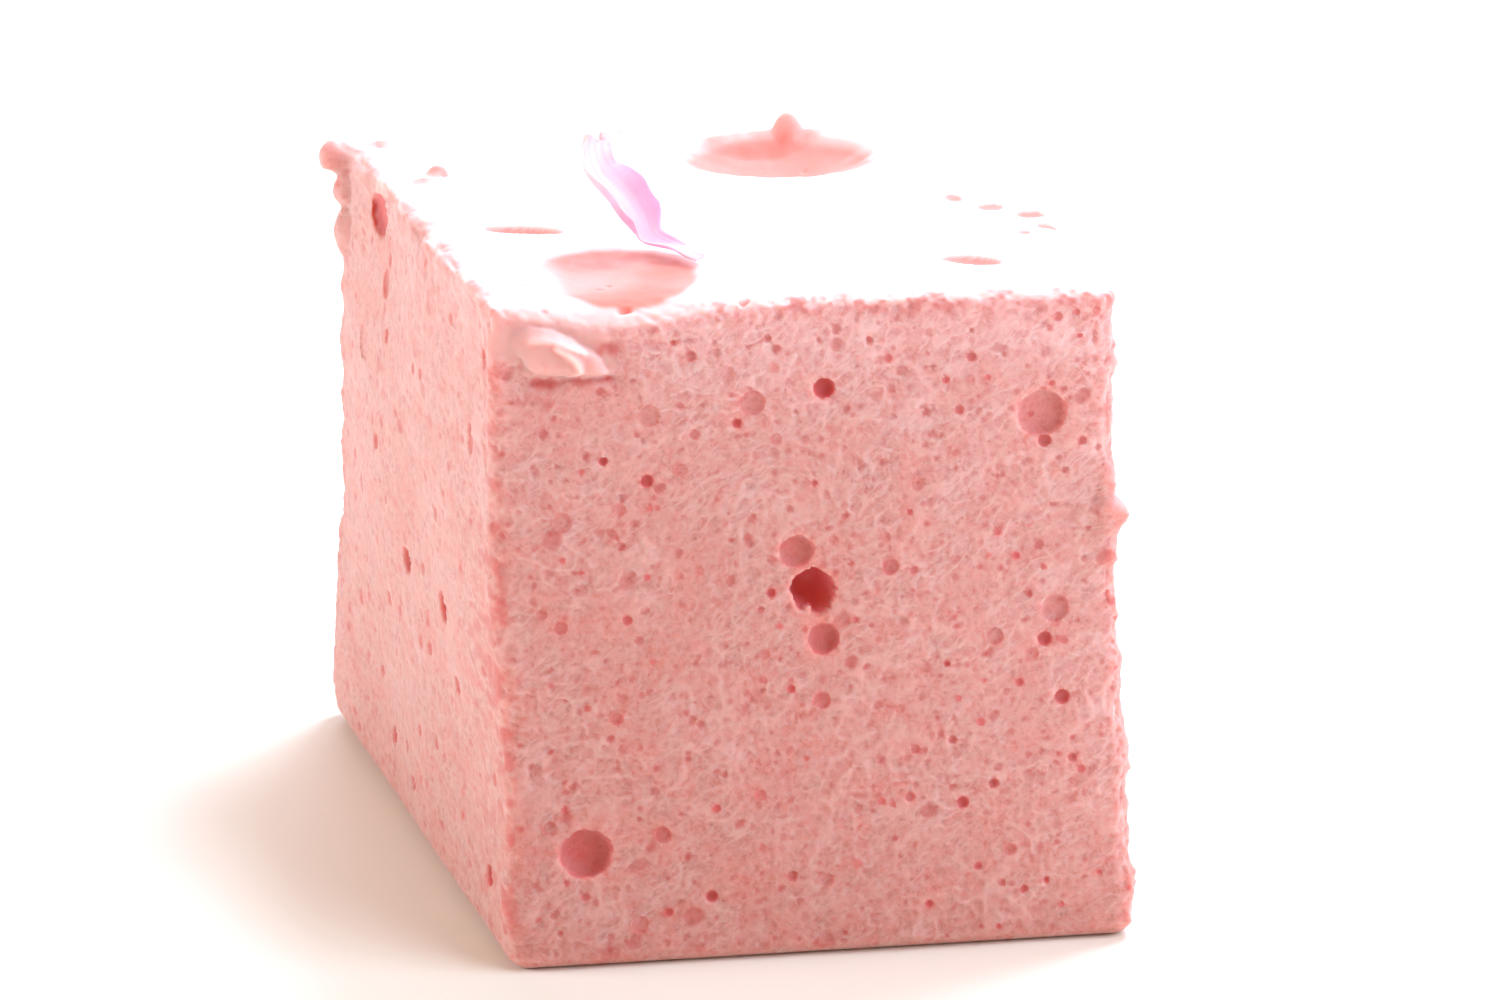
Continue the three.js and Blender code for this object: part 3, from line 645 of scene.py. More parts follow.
    def flap(self):
        """The skin is torn over the near left corner and hangs out in two folds."""
        x, _, z = self.bare.T
        rough = layered(self.bare, "flap")
        front = smooth(-self.outward[:, Y], 0.25, 0.8)
        depth = inside_distance(x, z, FLAP_OUTLINE) + rough
        curve = np.clip(1 - depth / FLAP_ROUND, 0, 1)
        body = np.sqrt(1 - curve ** 2) * (depth > 0) * smooth(x, *FLAP_BEGINS)
        body *= 1 - FLAP_JOINED * smooth(z, *FLAP_JOINS)
        out = FLAP_OUT + rough
        gaps = [line_distance(x, z, line) for line in (UPPER_FOLD, LOWER_FOLD)]
        for gap, fold_out in zip(gaps, (UPPER_FOLD_OUT, LOWER_FOLD_OUT)):
            out += fold_out * np.exp(-(gap / FOLD_WIDTH) ** 2)
        self.relief += front * body * out
        self.cell *= 1 - front * np.minimum(body, 1)
        self.ridge *= 1 - front * np.minimum(body, 1)
        # Painted highlight: along the crests of the folds the pale skin colour shows
        self.drape_shade *= 1 - 0.9 * front * np.exp(-(np.minimum(*gaps) / FOLD_HIGHLIGHT_WIDTH) ** 2)
        outside = front * (1 - smooth(depth, -0.1, 0.1))
        outside *= at_least(0.55, smooth(layered(self.bare, "flap_shade"), -0.5, 0.3))
        # Painted shade: the clefts under the flap are coloured dark red, and the skin colour gives
        # way there
        for across, up, half_across, half_up, sunk, tone in FLAP_SHADES:
            spot = hill(x + 2 * rough, z + rough, (across, up), (half_across, half_up)) * outside
            self.relief -= sunk * spot
            self.painted_shade = np.maximum(self.painted_shade, tone * smooth(spot, 0.1, 0.8))
            self.skin *= 1 - 0.8 * spot

    def lay_relief(self):
        lift = self.outward.copy()
        lift[:, Z] = np.maximum(lift[:, Z], 0)
        self.point = self.bare + lift * self.relief[:, None]

    def lumps(self):
        for middle, half, way, out, tone in LUMPS:
            rough = 1 + layered(self.point, "lump_form")
            reach = np.linalg.norm((self.point - middle) / half, axis=1) * rough
            dome = np.clip(1 - reach ** 2, 0, 1)
            self.point += np.outer(dome * out, unit(np.array(way)))
            # Painted shade: the lump is coloured darker by its tone
            self.painted_shade = np.maximum(self.painted_shade, tone * smooth(dome, 0.0, 0.6))

    def knob(self):
        near = np.linalg.norm(self.point - KNOB_CORNER, axis=1)
        pull = 1 - smooth(near, 0.55 * KNOB_REACH, KNOB_REACH)
        chosen = pull > 0
        away = self.point[chosen] - KNOB_BASE
        away /= np.linalg.norm(away, axis=1, keepdims=True)
        radius = KNOB_RADIUS * (1 + layered(self.point[chosen], "knob"))
        ball = KNOB_CENTRE + away * radius[:, None]
        self.point[chosen] += pull[chosen, None] * (ball - self.point[chosen])

    def hollows(self):
        """Hollows of the skin, steep on the far side and gentle on the near side, coloured with
        painted shade that fades out towards one side.
        """
        x, y, _ = self.point.T
        for across, up, half_width, half_length, depth, turn, tone, fades in TOP_HOLLOWS:
            cos, sin = math.cos(turn), math.sin(turn)
            wide = (cos * (x - across) + sin * (y - up)) / half_width
            long = (cos * (y - up) - sin * (x - across)) / half_length
            gap = np.hypot(wide, long) * (1 + layered(self.point, "hollow_edge"))
            inside = (gap < 1) & (self.outward[:, Z] > 0.5)
            wide, long, gap = wide[inside], long[inside], gap[inside]
            steep = np.where(gap > 0.05, 1 - 0.22 * long / np.maximum(gap, 0.05), 1.0)
            self.point[inside, Z] -= depth * (1 - gap ** 2) ** steep
            # Painted shade: full across the hollow, fading out towards one side
            fading = smooth(math.cos(fades) * wide + math.sin(fades) * long, FADE_FROM, FADE_TO)
            shade = tone * (1 - smooth(gap, 0.85, 1.0)) * fading
            self.painted_shade[inside] = np.maximum(self.painted_shade[inside], shade)

    def room(self, face, across, up, opening):
        """How far a bubble may gather the net before it meets another one, in openings."""
        gaps = [MOST_ROOM] + [(math.hypot(across - other[0], up - other[1]) - other[2]) / opening
                              for other in self.listed[face] if other[:2] != (across, up)]
        return min(gaps)

    def bubble(self, face, across, up, opening, depth, tone,
               ragged=RAGGED, tall=0.0, tooth=None, soft=None):
        """An open bubble: the net gathers round it, and inside it is drawn into a round pot."""
        plane = FACES[face][2:]
        index = self.lattice.grids[face].ravel()
        offset = self.bare[index][:, plane] - (across, up)
        outer = max(self.room(face, across, up, opening), LEAST_ROOM)
        gather = 1 + GATHER_SHARE * (outer - 1)
        near = np.abs(offset).max(axis=1) < MOST_ROOM * opening * 1.1
        if not near.any():
            return
        index, offset = index[near], offset[near]
        distance = np.maximum(np.linalg.norm(offset, axis=1), 1e-6)
        direction = offset / distance[:, None]
        angle = np.arctan2(offset[:, 1], offset[:, 0])
        starts = rng.uniform(0, 2 * math.pi, len(WOBBLE_TURNS))
        wobble = sum(np.sin(turns * angle + start) / weight
                     for turns, start, weight in zip(WOBBLE_TURNS, starts, WOBBLE_WEIGHTS))
        wide, high = opening * (1 - tall), opening * (1 + tall)
        plain = wide * high / np.hypot(high * np.cos(angle), wide * np.sin(angle))
        edge = plain * (1 + ragged * wobble)
        if tooth:
            turn_from = np.abs((angle - tooth + math.pi) % (2 * math.pi) - math.pi)
            edge *= 1 - TOOTH_LENGTH * np.exp(-(turn_from / TOOTH_WIDTH) ** 2)
        shared = distance / edge
        inside = shared < gather
        ring = ~inside & (shared < outer)
        planned = distance.copy()
        pulled = 1 + (outer - 1) * (shared[ring] - gather) / (outer - gather)
        planned[ring] = edge[ring] * pulled
        swing = 0.5 * math.pi * shared[inside] / gather
        share = np.cos(swing) ** (2 / POT_SHAPE)
        wall = edge[inside] + (plain - edge)[inside] * smooth(share, 0.0, RAGGED_DEPTH)
        planned[inside] = wall * np.sin(swing) ** (2 / POT_SHAPE)
        self.bare[index[:, None], plane] += direction * (planned - distance)[:, None]
        chosen = index[inside]
        keep = 1 - smooth(share, 0.0, CLEARED_OVER)
        self.relief[chosen] = self.relief[chosen] * keep - depth * share
        # Painted shade: the inside of the pot is coloured darker red by its tone
        shade = tone * smooth(share, 0.0, soft or np.interp(opening, SOFT_OPENINGS, SOFT_RIMS))
        self.painted_shade[chosen] = np.maximum(self.painted_shade[chosen] * keep, shade)
        self.ridge[chosen] *= keep
        self.cell[chosen] *= keep

    def scattered(self, face, density, smallest, largest, depth_share, tone, margin):
        """Small bubbles at seeded places, most of them near the smallest size."""
        spread = HALF_SIZE[list(FACES[face][2:])] - margin
        middle = HALF_SIZE[Z] if FACES[face][3] == Z else 0.0
        for _ in range(int(density * 4 * spread[0] * spread[1])):
            across = rng.uniform(-1, 1) * spread[0]
            up = middle + rng.uniform(-1, 1) * spread[1]
            opening = smallest + (largest - smallest) * rng.uniform() ** 3
            depth = opening * rng.uniform(*depth_share)
            if self.room(face, across, up, opening) >= CLEAR_OF_LISTED:
                own_tone = tone * rng.uniform(0.6, 1.2)
                self.bubble(face, across, up, opening, depth, own_tone, SCATTERED_RAGGED)

    def bubbles(self):
        self.listed = {face: [] for face in FACES}
        self.listed["front"] = [row[:3] for row in [DEEP_BUBBLE, *FRONT_BUBBLES]]
        self.listed["left"] = [row[:3] for row in [SALMON_HOLLOW, *LEFT_BUBBLES]]
        self.bubble("front", *DEEP_BUBBLE, DEEP_RAGGED, DEEP_BUBBLE_TALL, DEEP_BUBBLE_TOOTH)
        self.bubble("left", *SALMON_HOLLOW, SALMON_RAGGED, SALMON_HOLLOW_TALL,
                    soft=SALMON_HOLLOW_SOFT)
        for across, up, opening, depth, tone in FRONT_BUBBLES:
            depth *= SMALL_DEPTH if opening < SMALL_OPENING else LARGE_DEPTH
            self.bubble("front", across, up, opening, depth, tone, FRONT_RAGGED)
        for row in LEFT_BUBBLES:
            self.bubble("left", *row)
        for row in SCATTERED:
            self.scattered(*row)

    def build(self):
        for step in (self.drape, self.cut_faces, self.cut_tones_and_painted_light, self.skin_face,
                     self.upright_edges, self.rims, self.front_rim, self.flap, self.bubbles,
                     self.lay_relief, self.lumps, self.knob, self.hollows):
            step()
        low, high = (np.array(corner) / MM - ROW_SHIFT for corner in cad_bounds)
        self.point = np.clip(self.point, low, high)

    def values(self):
        # The first value is painted shade, for pits, hollows, clefts and lumps
        return {"painted_shade": self.painted_shade, "ridge": self.ridge, "skin": self.skin, "cell": self.cell,
                "pale": self.pale, "drape": self.drape_shade, "fine": self.fine}


# ---- Mesh making
def mesh_object(name, points, faces, material, values):
    mesh = bpy.data.meshes.new(name)
    mesh.vertices.add(len(points))
    mesh.vertices.foreach_set("co", ((points + ROW_SHIFT) * MM).astype(np.float32).ravel())
    mesh.loops.add(faces.size)
    mesh.loops.foreach_set("vertex_index", faces.astype(np.int32).ravel())
    mesh.polygons.add(len(faces))
    starts = np.arange(0, faces.size, faces.shape[1], dtype=np.int32)
    mesh.polygons.foreach_set("loop_start", starts)
    mesh.update(calc_edges=True)
    mesh.shade_smooth()
    for key, value in values.items():
        attribute = mesh.attributes.new(key, "FLOAT", "POINT")
        attribute.data.foreach_set("value", value.astype(np.float32))
    mesh.materials.append(material)
    piece = bpy.data.objects.new(name, mesh)
    bpy.context.scene.collection.objects.link(piece)
    return piece


# Where each face lies in the texture plane: left, low, width and height
ATLAS = {
    "front": (0.005, 0.505, 0.485, 0.49), "top": (0.5, 0.505, 0.495, 0.49),
    "left": (0.005, 0.05, 0.32, 0.445), "right": (0.335, 0.05, 0.32, 0.445),
    "back": (0.665, 0.05, 0.32, 0.445), "base": (0.005, 0.005, 0.99, 0.035),
}


def add_uv(piece, lattice):
    made = []
    for name, grid in lattice.grids.items():
        left, low, width, height = ATLAS[name]
        run = left + width * np.linspace(0, 1, grid.shape[0])
        rise = low + height * np.linspace(0, 1, grid.shape[1])
        place = np.stack(np.meshgrid(run, rise, indexing="ij"), axis=-1)
        corners = [corner.reshape(-1, 2) for corner in face_corners(name, place)]
        made.append(np.stack(corners, axis=1).reshape(-1, 2))
    layer = piece.data.uv_layers.new(name="OFBake")
    layer.data.foreach_set("uv", np.concatenate(made).astype(np.float32).ravel())


# ---- Materials
class Nodes:
    """Short names for building one material's nodes."""

    def __init__(self, name):
        self.material = bpy.data.materials.new(name)
        self.material.use_nodes = True
        self.tree = self.material.node_tree
        self.shader = self.tree.nodes["Principled BSDF"]

    def feed(self, socket, given):
        if isinstance(given, bpy.types.NodeSocket):
            self.tree.links.new(given, socket)
        elif socket.type == "RGBA":
            socket.default_value = (*given, 1.0)
        else:
            socket.default_value = given

    def add(self, kind, inputs, **settings):
        node = self.tree.nodes.new(kind)
        for key, value in settings.items():
            setattr(node, key, value)
        for key, given in inputs.items():
            self.feed(node.inputs[key], given)
        return node

    def dressed(self, inputs):
        for key, given in inputs.items():
            self.feed(self.shader.inputs[key], given)
        return self.material

    def coordinates(self):
        return self.add("ShaderNodeTexCoord", {}).outputs["Object"]

    def value(self, name):
        return self.add("ShaderNodeAttribute", {}, attribute_name=name).outputs["Fac"]

    def calculate(self, operation, first, second=0.0):
        return self.add("ShaderNodeMath", {0: first, 1: second}, operation=operation).outputs[0]

    def times(self, first, second):
        return self.calculate("MULTIPLY", first, second)

    def move(self, operation, place, inputs):
        node = self.add("ShaderNodeVectorMath", {0: place, **inputs}, operation=operation)
        return node.outputs["Vector"]

    def over(self, below, colour, share, strength=1.0):
        """A colour laid over the one below it, by a share of that strength."""
        share = share if strength == 1.0 else self.times(share, strength)
        return self.add("ShaderNodeMix", {0: share, 6: below, 7: colour}, data_type="RGBA").outputs[2]

    def noise(self, place, scale, detail=3.0, roughness=0.5):
        inputs = {"Vector": place, "Scale": scale, "Detail": detail, "Roughness": roughness}
        return self.add("ShaderNodeTexNoise", inputs).outputs["Fac"]

    def dots(self, place, scale, radius, rarity):
        """Soft round dots at the points of a net of that scale, each with a strength of its own."""
        node = self.add("ShaderNodeTexVoronoi", {"Vector": place, "Scale": scale})
        parted = self.add("ShaderNodeSeparateColor", {"Color": node.outputs["Color"]})
        own = self.calculate("POWER", parted.outputs["Red"], rarity)
        return self.times(self.soft(node.outputs["Distance"], radius, DOT_CORE * radius), own)

    def stretched(self, place, shares):
        return self.add("ShaderNodeMapping", {"Vector": place, "Scale": shares}).outputs["Vector"]

    def drawn_out(self, place, rise, length):
        """Coordinates in which things are longer along a line that rises in the front face."""
        inputs = {"Vector": place, "Rotation": (0.0, rise, 0.0), "Scale": (length, 1.0, 1.0)}
        return self.add("ShaderNodeMapping", inputs, vector_type="TEXTURE").outputs["Vector"]

    def warped(self, place, scale, reach):
        """Coordinates pushed about by up to that reach, in features of that scale."""
        node = self.add("ShaderNodeTexNoise", {"Vector": place, "Scale": scale})
        centred = self.move("SUBTRACT", node.outputs["Color"], {1: (0.5, 0.5, 0.5)})
        return self.move("ADD", place, {1: self.move("SCALE", centred, {"Scale": reach})})

    def spread(self, source, low, high, start=0.0, end=1.0, kind="LINEAR"):
        """A value between two levels, as a share or between two other levels."""
        inputs = {"Value": source, "From Min": low, "From Max": high, "To Min": start, "To Max": end}
        return self.add("ShaderNodeMapRange", inputs, interpolation_type=kind).outputs["Result"]

    def soft(self, source, zero_at, one_at):
        return self.spread(source, zero_at, one_at, kind="SMOOTHSTEP")

    def crests(self, source, width):
        """1 along the thin middle lines of a noise, 0 away from them."""
        aside = self.calculate("ABSOLUTE", self.calculate("SUBTRACT", source, 0.5))
        return self.soft(aside, width, 0.0)

    def ramp(self, source, stops):
        node = self.add("ShaderNodeValToRGB", {"Fac": source})
        elements = node.color_ramp.elements
        while len(elements) < len(stops):
            elements.new(0.5)
        for element, (position, colour) in zip(elements, stops):
            element.position = position
            element.color = (*colour, 1.0)
        return node.outputs["Color"]

    def bump(self, height, distance, strength, below=None):
        inputs = {"Height": height, "Distance": distance, "Strength": strength}
        if below is not None:
            inputs["Normal"] = below
        return self.add("ShaderNodeBump", inputs).outputs["Normal"]


# ---- Foam material. Scales are in features a metre
FOAM_BODY = (0.655, 0.25, 0.207)
FOAM_SHADE = (0.56, 0.238, 0.202)
FOAM_THREAD = (0.7, 0.39, 0.355)
# Painted light: paler threads towards the top and the right
THREAD_PAINTED_LIGHT = (0.88, 0.58, 0.56)
FOAM_CELL = (0.58, 0.12, 0.108)
FOAM_DOT = (0.54, 0.06, 0.06)
FOAM_WARM = (0.64, 0.182, 0.148)
FOAM_SPECK = (0.44, 0.142, 0.114)
# Painted light: the paler colour of the cut faces towards the top and the right
FOAM_PAINTED_LIGHT = (0.77, 0.36, 0.34)
# Painted shade: a darker red for the insides of pits and clefts, and a red for the deep hole
FOAM_PIT_SHADE = (0.69, 0.12, 0.12)
DEEP_HOLE_SHADE = (0.84, 0.2, 0.2)
# Painted shade for the draped skin and the sagging top corner
FOAM_DRAPE_SHADE = (0.72, 0.345, 0.315)
SKIN = (0.86, 0.6, 0.56)
# Painted shade for hollows and lumps in the skin, in place of the skin's own paler colour
SKIN_HOLLOW_SHADE = (0.75, 0.175, 0.122)

FOAM_CLOUDS = [
    # scale, detail, roughness, whether pushed about, low and high level, strength, colour
    (420.0, 4.0, 0.6, False, 0.4, 0.6, 1.0, FOAM_SHADE),
    (1300.0, 4.0, 0.65, False, 0.5, 0.7, 0.6, FOAM_THREAD),
    (3000.0, 3.0, 0.5, False, 0.5, 0.66, 0.35, FOAM_SPECK),
    (900.0, 3.0, 0.5, True, 0.5, 0.64, 0.6, FOAM_WARM),
]
FOAM_DOTS = [
    # scale, radius against their spacing, rarity, strength, colour
    (600.0, 0.45, 1.3, 0.4, FOAM_CELL),
    (950.0, 0.45, 1.4, 0.62, FOAM_CELL),
    (1800.0, 0.48, 1.2, 0.78, FOAM_CELL),
    (3400.0, 0.46, 1.2, 0.75, FOAM_SPECK),
    (6800.0, 0.5, 0.8, 0.4, FOAM_SPECK),
]
RED_DOTS, RED_DOT_STRENGTH = (1150.0, 0.36, 3.0), 0.75
DOT_CORE = 0.2
WARP_SCALE, WARP_REACH = 1100.0, 0.00045
STREAK_RISE, STREAK_LENGTH = math.radians(-38), 2.2
STREAK_NOISE, STREAK_WIDTH = (1150.0, 2.0, 0.55), 0.1
STREAK_PATCHES, STREAK_PATCH_LEVELS = (420.0, 2.0), (0.35, 0.6)
CURL_NOISE, CURL_WIDTH, CURL_SHARE = (1700.0, 2.0, 0.55), 0.13, 0.45
NET_STRENGTH, RIDGE_STRENGTH, CELL_STRENGTH, DRAPE_SHADE_STRENGTH = 0.65, 0.7, 0.8, 0.8
DEEP_LEVELS = (0.96, 1.0)
GLOSS_NOISE, FOAM_ROUGHNESS = (1300.0, 4.0, 0.65), (0.45, 0.75)
FOAM_GRAIN, FOAM_GRAIN_BUMP = (5200.0, 2.0), (0.00003, 0.25)
NET_BUMP = (0.00005, 0.28)
FOAM_FINISH = {
    "Specular IOR Level": 0.25, "Sheen Weight": 0.15, "Sheen Roughness": 0.5,
    "Subsurface Weight": 1.0, "Subsurface Radius": (1.0, 0.38, 0.32), "Subsurface Scale": 0.0012,
}


def foam_material():
    nodes = Nodes("foam")
    place = nodes.stretched(nodes.coordinates(), tuple(DEPTH_STRETCH))
    loose = nodes.warped(place, WARP_SCALE, WARP_REACH)
    painted_shade, skin, fine, pale = map(nodes.value, ("painted_shade", "skin", "fine", "pale"))
    drawn = nodes.drawn_out(loose, STREAK_RISE, STREAK_LENGTH)
    streaks = nodes.crests(nodes.noise(drawn, *STREAK_NOISE), STREAK_WIDTH)
    patchy = nodes.spread(nodes.noise(place, *STREAK_PATCHES), *STREAK_PATCH_LEVELS)
    curls = nodes.crests(nodes.noise(loose, *CURL_NOISE), CURL_WIDTH)
    net = nodes.calculate("MAXIMUM", nodes.times(streaks, patchy), nodes.times(curls, CURL_SHARE))
    net = nodes.times(net, nodes.calculate("SUBTRACT", 1.0, skin))
    body = FOAM_BODY
    for scale, detail, roughness, pushed, low, high, strength, tint in FOAM_CLOUDS:
        clouds = nodes.noise(loose if pushed else place, scale, detail, roughness)
        body = nodes.over(body, tint, nodes.spread(clouds, low, high), strength)
    # Painted light: paler towards the top and towards the right of the cut faces
    body = nodes.over(body, FOAM_PAINTED_LIGHT, pale)
    for scale, radius, rarity, strength, tint in FOAM_DOTS:
        dots = nodes.times(nodes.dots(loose, scale, radius, rarity), fine)
        body = nodes.over(body, tint, dots, strength)
    # Painted light: the threads are paler there too
    thread = nodes.over(FOAM_THREAD, THREAD_PAINTED_LIGHT, pale)
    body = nodes.over(body, thread, net, NET_STRENGTH)
    body = nodes.over(body, thread, nodes.value("ridge"), RIDGE_STRENGTH)
    # The cell value: painted shade in the cell hollows, with mottled patches on the left face, crumbs
    # at the front rim and painted shade of the skin's grain
    body = nodes.over(body, FOAM_CELL, nodes.value("cell"), CELL_STRENGTH)
    red_dots = nodes.times(nodes.dots(loose, *RED_DOTS), fine)
    body = nodes.over(body, FOAM_DOT, red_dots, RED_DOT_STRENGTH)
    coloured = nodes.over(body, SKIN, skin)
    # Painted shade on the draped skin and the sagging top corner
    coloured = nodes.over(coloured, FOAM_DRAPE_SHADE, nodes.value("drape"), DRAPE_SHADE_STRENGTH)
    # Painted shade: pits, clefts, lumps and hollows take these colours by the painted shade on the
    # mesh
    pit_shade = nodes.over(FOAM_PIT_SHADE, DEEP_HOLE_SHADE, nodes.spread(painted_shade, *DEEP_LEVELS))
    hollow_shade = nodes.over(pit_shade, SKIN_HOLLOW_SHADE, skin)
    gloss = nodes.spread(nodes.noise(place, *GLOSS_NOISE), 0.0, 1.0, *FOAM_ROUGHNESS)
    grain = nodes.bump(nodes.noise(place, *FOAM_GRAIN), *FOAM_GRAIN_BUMP)
    return nodes.dressed({"Base Color": nodes.over(coloured, hollow_shade, painted_shade), "Roughness": gloss,
                          "Normal": nodes.bump(net, *NET_BUMP, grain), **FOAM_FINISH})


# ---- Petal and floor materials
PETAL_COLOURS = [
    # share of the way from foot to tip, colour
    (0.0, (0.8, 0.38, 0.5)), (0.22, (0.8, 0.36, 0.46)), (0.4, (0.82, 0.54, 0.52)),
    (0.7, (0.84, 0.66, 0.62)), (0.9, (0.84, 0.64, 0.66)), (1.0, (0.84, 0.58, 0.66)),
]
PETAL_STRAND, PETAL_STRAND_STRENGTH = (0.8, 0.26, 0.29), 0.9
PETAL_VEIN, PETAL_VEIN_STRENGTH = (0.8, 0.36, 0.4), 0.35
PETAL_CLOUD, PETAL_CLOUD_STRENGTH = (0.86, 0.68, 0.58), 0.4
PETAL_CLOUDS, PETAL_GRAIN, PETAL_BUMP = (700.0, 3.0), (6000.0, 2.0), (0.00002, 0.4)
PETAL_FINISH = {
    "Roughness": 0.5, "Specular IOR Level": 0.3, "Subsurface Weight": 1.0,
    "Subsurface Radius": (0.9, 0.6, 0.9), "Subsurface Scale": 0.0008,
}
FLOOR_TONES, FLOOR_NOISE = ((0.92, 0.835, 0.735), (0.94, 0.855, 0.755)), (6.0, 2.0)
FLOOR_FINISH = {"Roughness": 0.8, "Specular IOR Level": 0.2}


def petal_material():
    nodes = Nodes("petal_skin")
    place = nodes.coordinates()
    colour = nodes.ramp(nodes.value("along"), PETAL_COLOURS)
    colour = nodes.over(colour, PETAL_STRAND, nodes.value("strand"), PETAL_STRAND_STRENGTH)
    colour = nodes.over(colour, PETAL_VEIN, nodes.value("vein"), PETAL_VEIN_STRENGTH)
    cloudy = nodes.noise(place, *PETAL_CLOUDS)
    colour = nodes.over(colour, PETAL_CLOUD, cloudy, PETAL_CLOUD_STRENGTH)
    grain = nodes.bump(nodes.noise(place, *PETAL_GRAIN), *PETAL_BUMP)
    return nodes.dressed({"Base Color": colour, "Normal": grain, **PETAL_FINISH})


def floor_material():
    nodes = Nodes("table_paper")
    tone = nodes.noise(nodes.coordinates(), *FLOOR_NOISE)
    return nodes.dressed({"Base Color": nodes.over(*FLOOR_TONES, tone), **FLOOR_FINISH})


# ---- Petal
PETAL_SPINE = np.array([
    [-4.9, -13.3, 40.0], [-5.9, -11.2, 40.0], [-7.1, -9.6, 40.1], [-7.9, -8.9, 41.0],
    [-8.8, -8.3, 42.2], [-9.95, -7.7, 43.6], [-10.3, -7.3, 45.0], [-9.95, -7.1, 46.05],
    [-9.3, -7.4, 46.45], [-8.8, -7.9, 46.3],
])
PETAL_HALF_WIDTHS = [0.35, 0.8, 1.0, 1.4, 1.45, 1.15, 1.2, 1.3, 1.25, 0.9]
PETAL_CURLS = [0.3, 0.5, 0.8, 1.5, 1.6, 1.5, 1.2, 1.0, 0.9, 0.8]
PETAL_ACROSS = np.array([0.83, 0.55, 0.0])
PETAL_THICKNESS = 0.12
PETAL_STEPS, PETAL_STRIPS = 150, 48
FRILL, FRILL_WAVES, FRILL_SLANT = 0.12, 5, 2
VEINS, VEIN_HEIGHT, VEIN_THINNESS = 21, 0.02, 3
VEIN_WANDER, VEIN_WANDER_WAVES = 1.3, 9
STRAND_AT, STRAND_REACH, STRAND_ASIDE, STRAND_SIDES = 0.38, 0.16, 0.1, (0.25, 0.7)
SHORT_WAY = 0.001


def spine_point(share):
    """Catmull-Rom curve through the spine, its ends carried on straight."""
    points = np.vstack([2 * PETAL_SPINE[0] - PETAL_SPINE[1], PETAL_SPINE,
                        2 * PETAL_SPINE[-1] - PETAL_SPINE[-2]])
    place = share * (len(PETAL_SPINE) - 1)
    index = min(max(int(place), 0), len(PETAL_SPINE) - 2)
    step = place - index
    before, start, end, after = points[index:index + 4]
    leave, arrive = (end - before) / 2, (after - start) / 2
    square, cube = step ** 2, step ** 3
    return (start * (2 * cube - 3 * square + 1) + leave * (cube - 2 * square + step)
            + end * (3 * square - 2 * cube) + arrive * (cube - square))


def petal():
    """A thin curled blade of two faces, with its edges closed."""
    sides = np.linspace(-1, 1, PETAL_STRIPS + 1)
    sheets = [[], []]
    along, vein, strand = [], [], []
    stops = np.linspace(0, 1, len(PETAL_SPINE))
    for share in np.linspace(0, 1, PETAL_STEPS + 1):
        centre = spine_point(share)
        ahead, behind = min(share + SHORT_WAY, 1.0), max(share - SHORT_WAY, 0.0)
        tangent = unit(spine_point(ahead) - spine_point(behind))
        across = unit(PETAL_ACROSS - tangent * PETAL_ACROSS.dot(tangent))
        opens = np.cross(across, tangent)
        curl = np.interp(share, stops, PETAL_CURLS)
        bend = np.interp(share, stops, PETAL_HALF_WIDTHS) / math.sin(curl)
        angle = sides * curl
        inward = np.cos(angle)[:, None] * opens - np.sin(angle)[:, None] * across
        wave = 2 * math.pi * FRILL_WAVES * share + FRILL_SLANT * sides
        frill = FRILL * sides ** 2 * np.sin(wave)
        wander = VEIN_WANDER * math.sin(VEIN_WANDER_WAVES * share)
        veins = 0.5 + 0.5 * np.cos(sides * VEINS + wander)
        middle = (centre + np.sin(angle)[:, None] * bend * across
                  + (bend * (1 - np.cos(angle)))[:, None] * opens)
        height = frill + VEIN_HEIGHT * veins
        for sheet, side in zip(sheets, (-1, 1)):
            sheet.append(middle + inward * (height + side * PETAL_THICKNESS / 2)[:, None])
        along.append(np.full(len(sides), share))
        vein.append(veins ** VEIN_THINNESS)
        middle_part = math.exp(-((share - STRAND_AT) / STRAND_REACH) ** 2)
        strand.append(middle_part * smooth(np.abs(sides + STRAND_ASIDE), *STRAND_SIDES))
    points = np.concatenate([np.concatenate(sheet) for sheet in sheets])
    columns = PETAL_STRIPS + 1
    grid = np.arange((PETAL_STEPS + 1) * columns).reshape(-1, columns)
    other = grid + grid.size
    faces = ((grid[:-1, :-1], grid[1:, :-1], grid[1:, 1:], grid[:-1, 1:]),
             (other[:-1, :-1], other[:-1, 1:], other[1:, 1:], other[1:, :-1]))
    quads = [np.stack(corners, -1).reshape(-1, 4) for corners in faces]
    for low, high in ((grid[:, 0], other[:, 0]), (other[:, -1], grid[:, -1]),
                      (other[0], grid[0]), (grid[-1], other[-1])):
        quads.append(np.stack([low[:-1], high[:-1], high[1:], low[1:]], -1))
    values = {name: np.tile(np.concatenate(rows), 2)
              for name, rows in (("along", along), ("vein", vein), ("strand", strand))}
    return mesh_object("blossom_petal", points, np.concatenate(quads), petal_material(), values)


# ---- Stage, lights and camera
FLOOR_SIZE, FLOOR_UNDER = 4.0, 0.00002


def make_floor():
    bpy.ops.mesh.primitive_plane_add(size=FLOOR_SIZE, location=(0, 0, -FLOOR_UNDER))
    floor = bpy.context.active_object
    floor.name = "table_top"
    floor.data.materials.append(floor_material())


def area_light(name, place, size, power, colour):
    """A round light that faces the object's foot."""
    data = bpy.data.lights.new(name, "AREA")
    data.shape = "DISK"
    data.size = size
    data.energy = power
    data.color = colour
    light = bpy.data.objects.new(name, data)
    light.location = place
    light.rotation_euler = (-Vector(place)).to_track_quat("-Z", "Y").to_euler()
    bpy.context.scene.collection.objects.link(light)


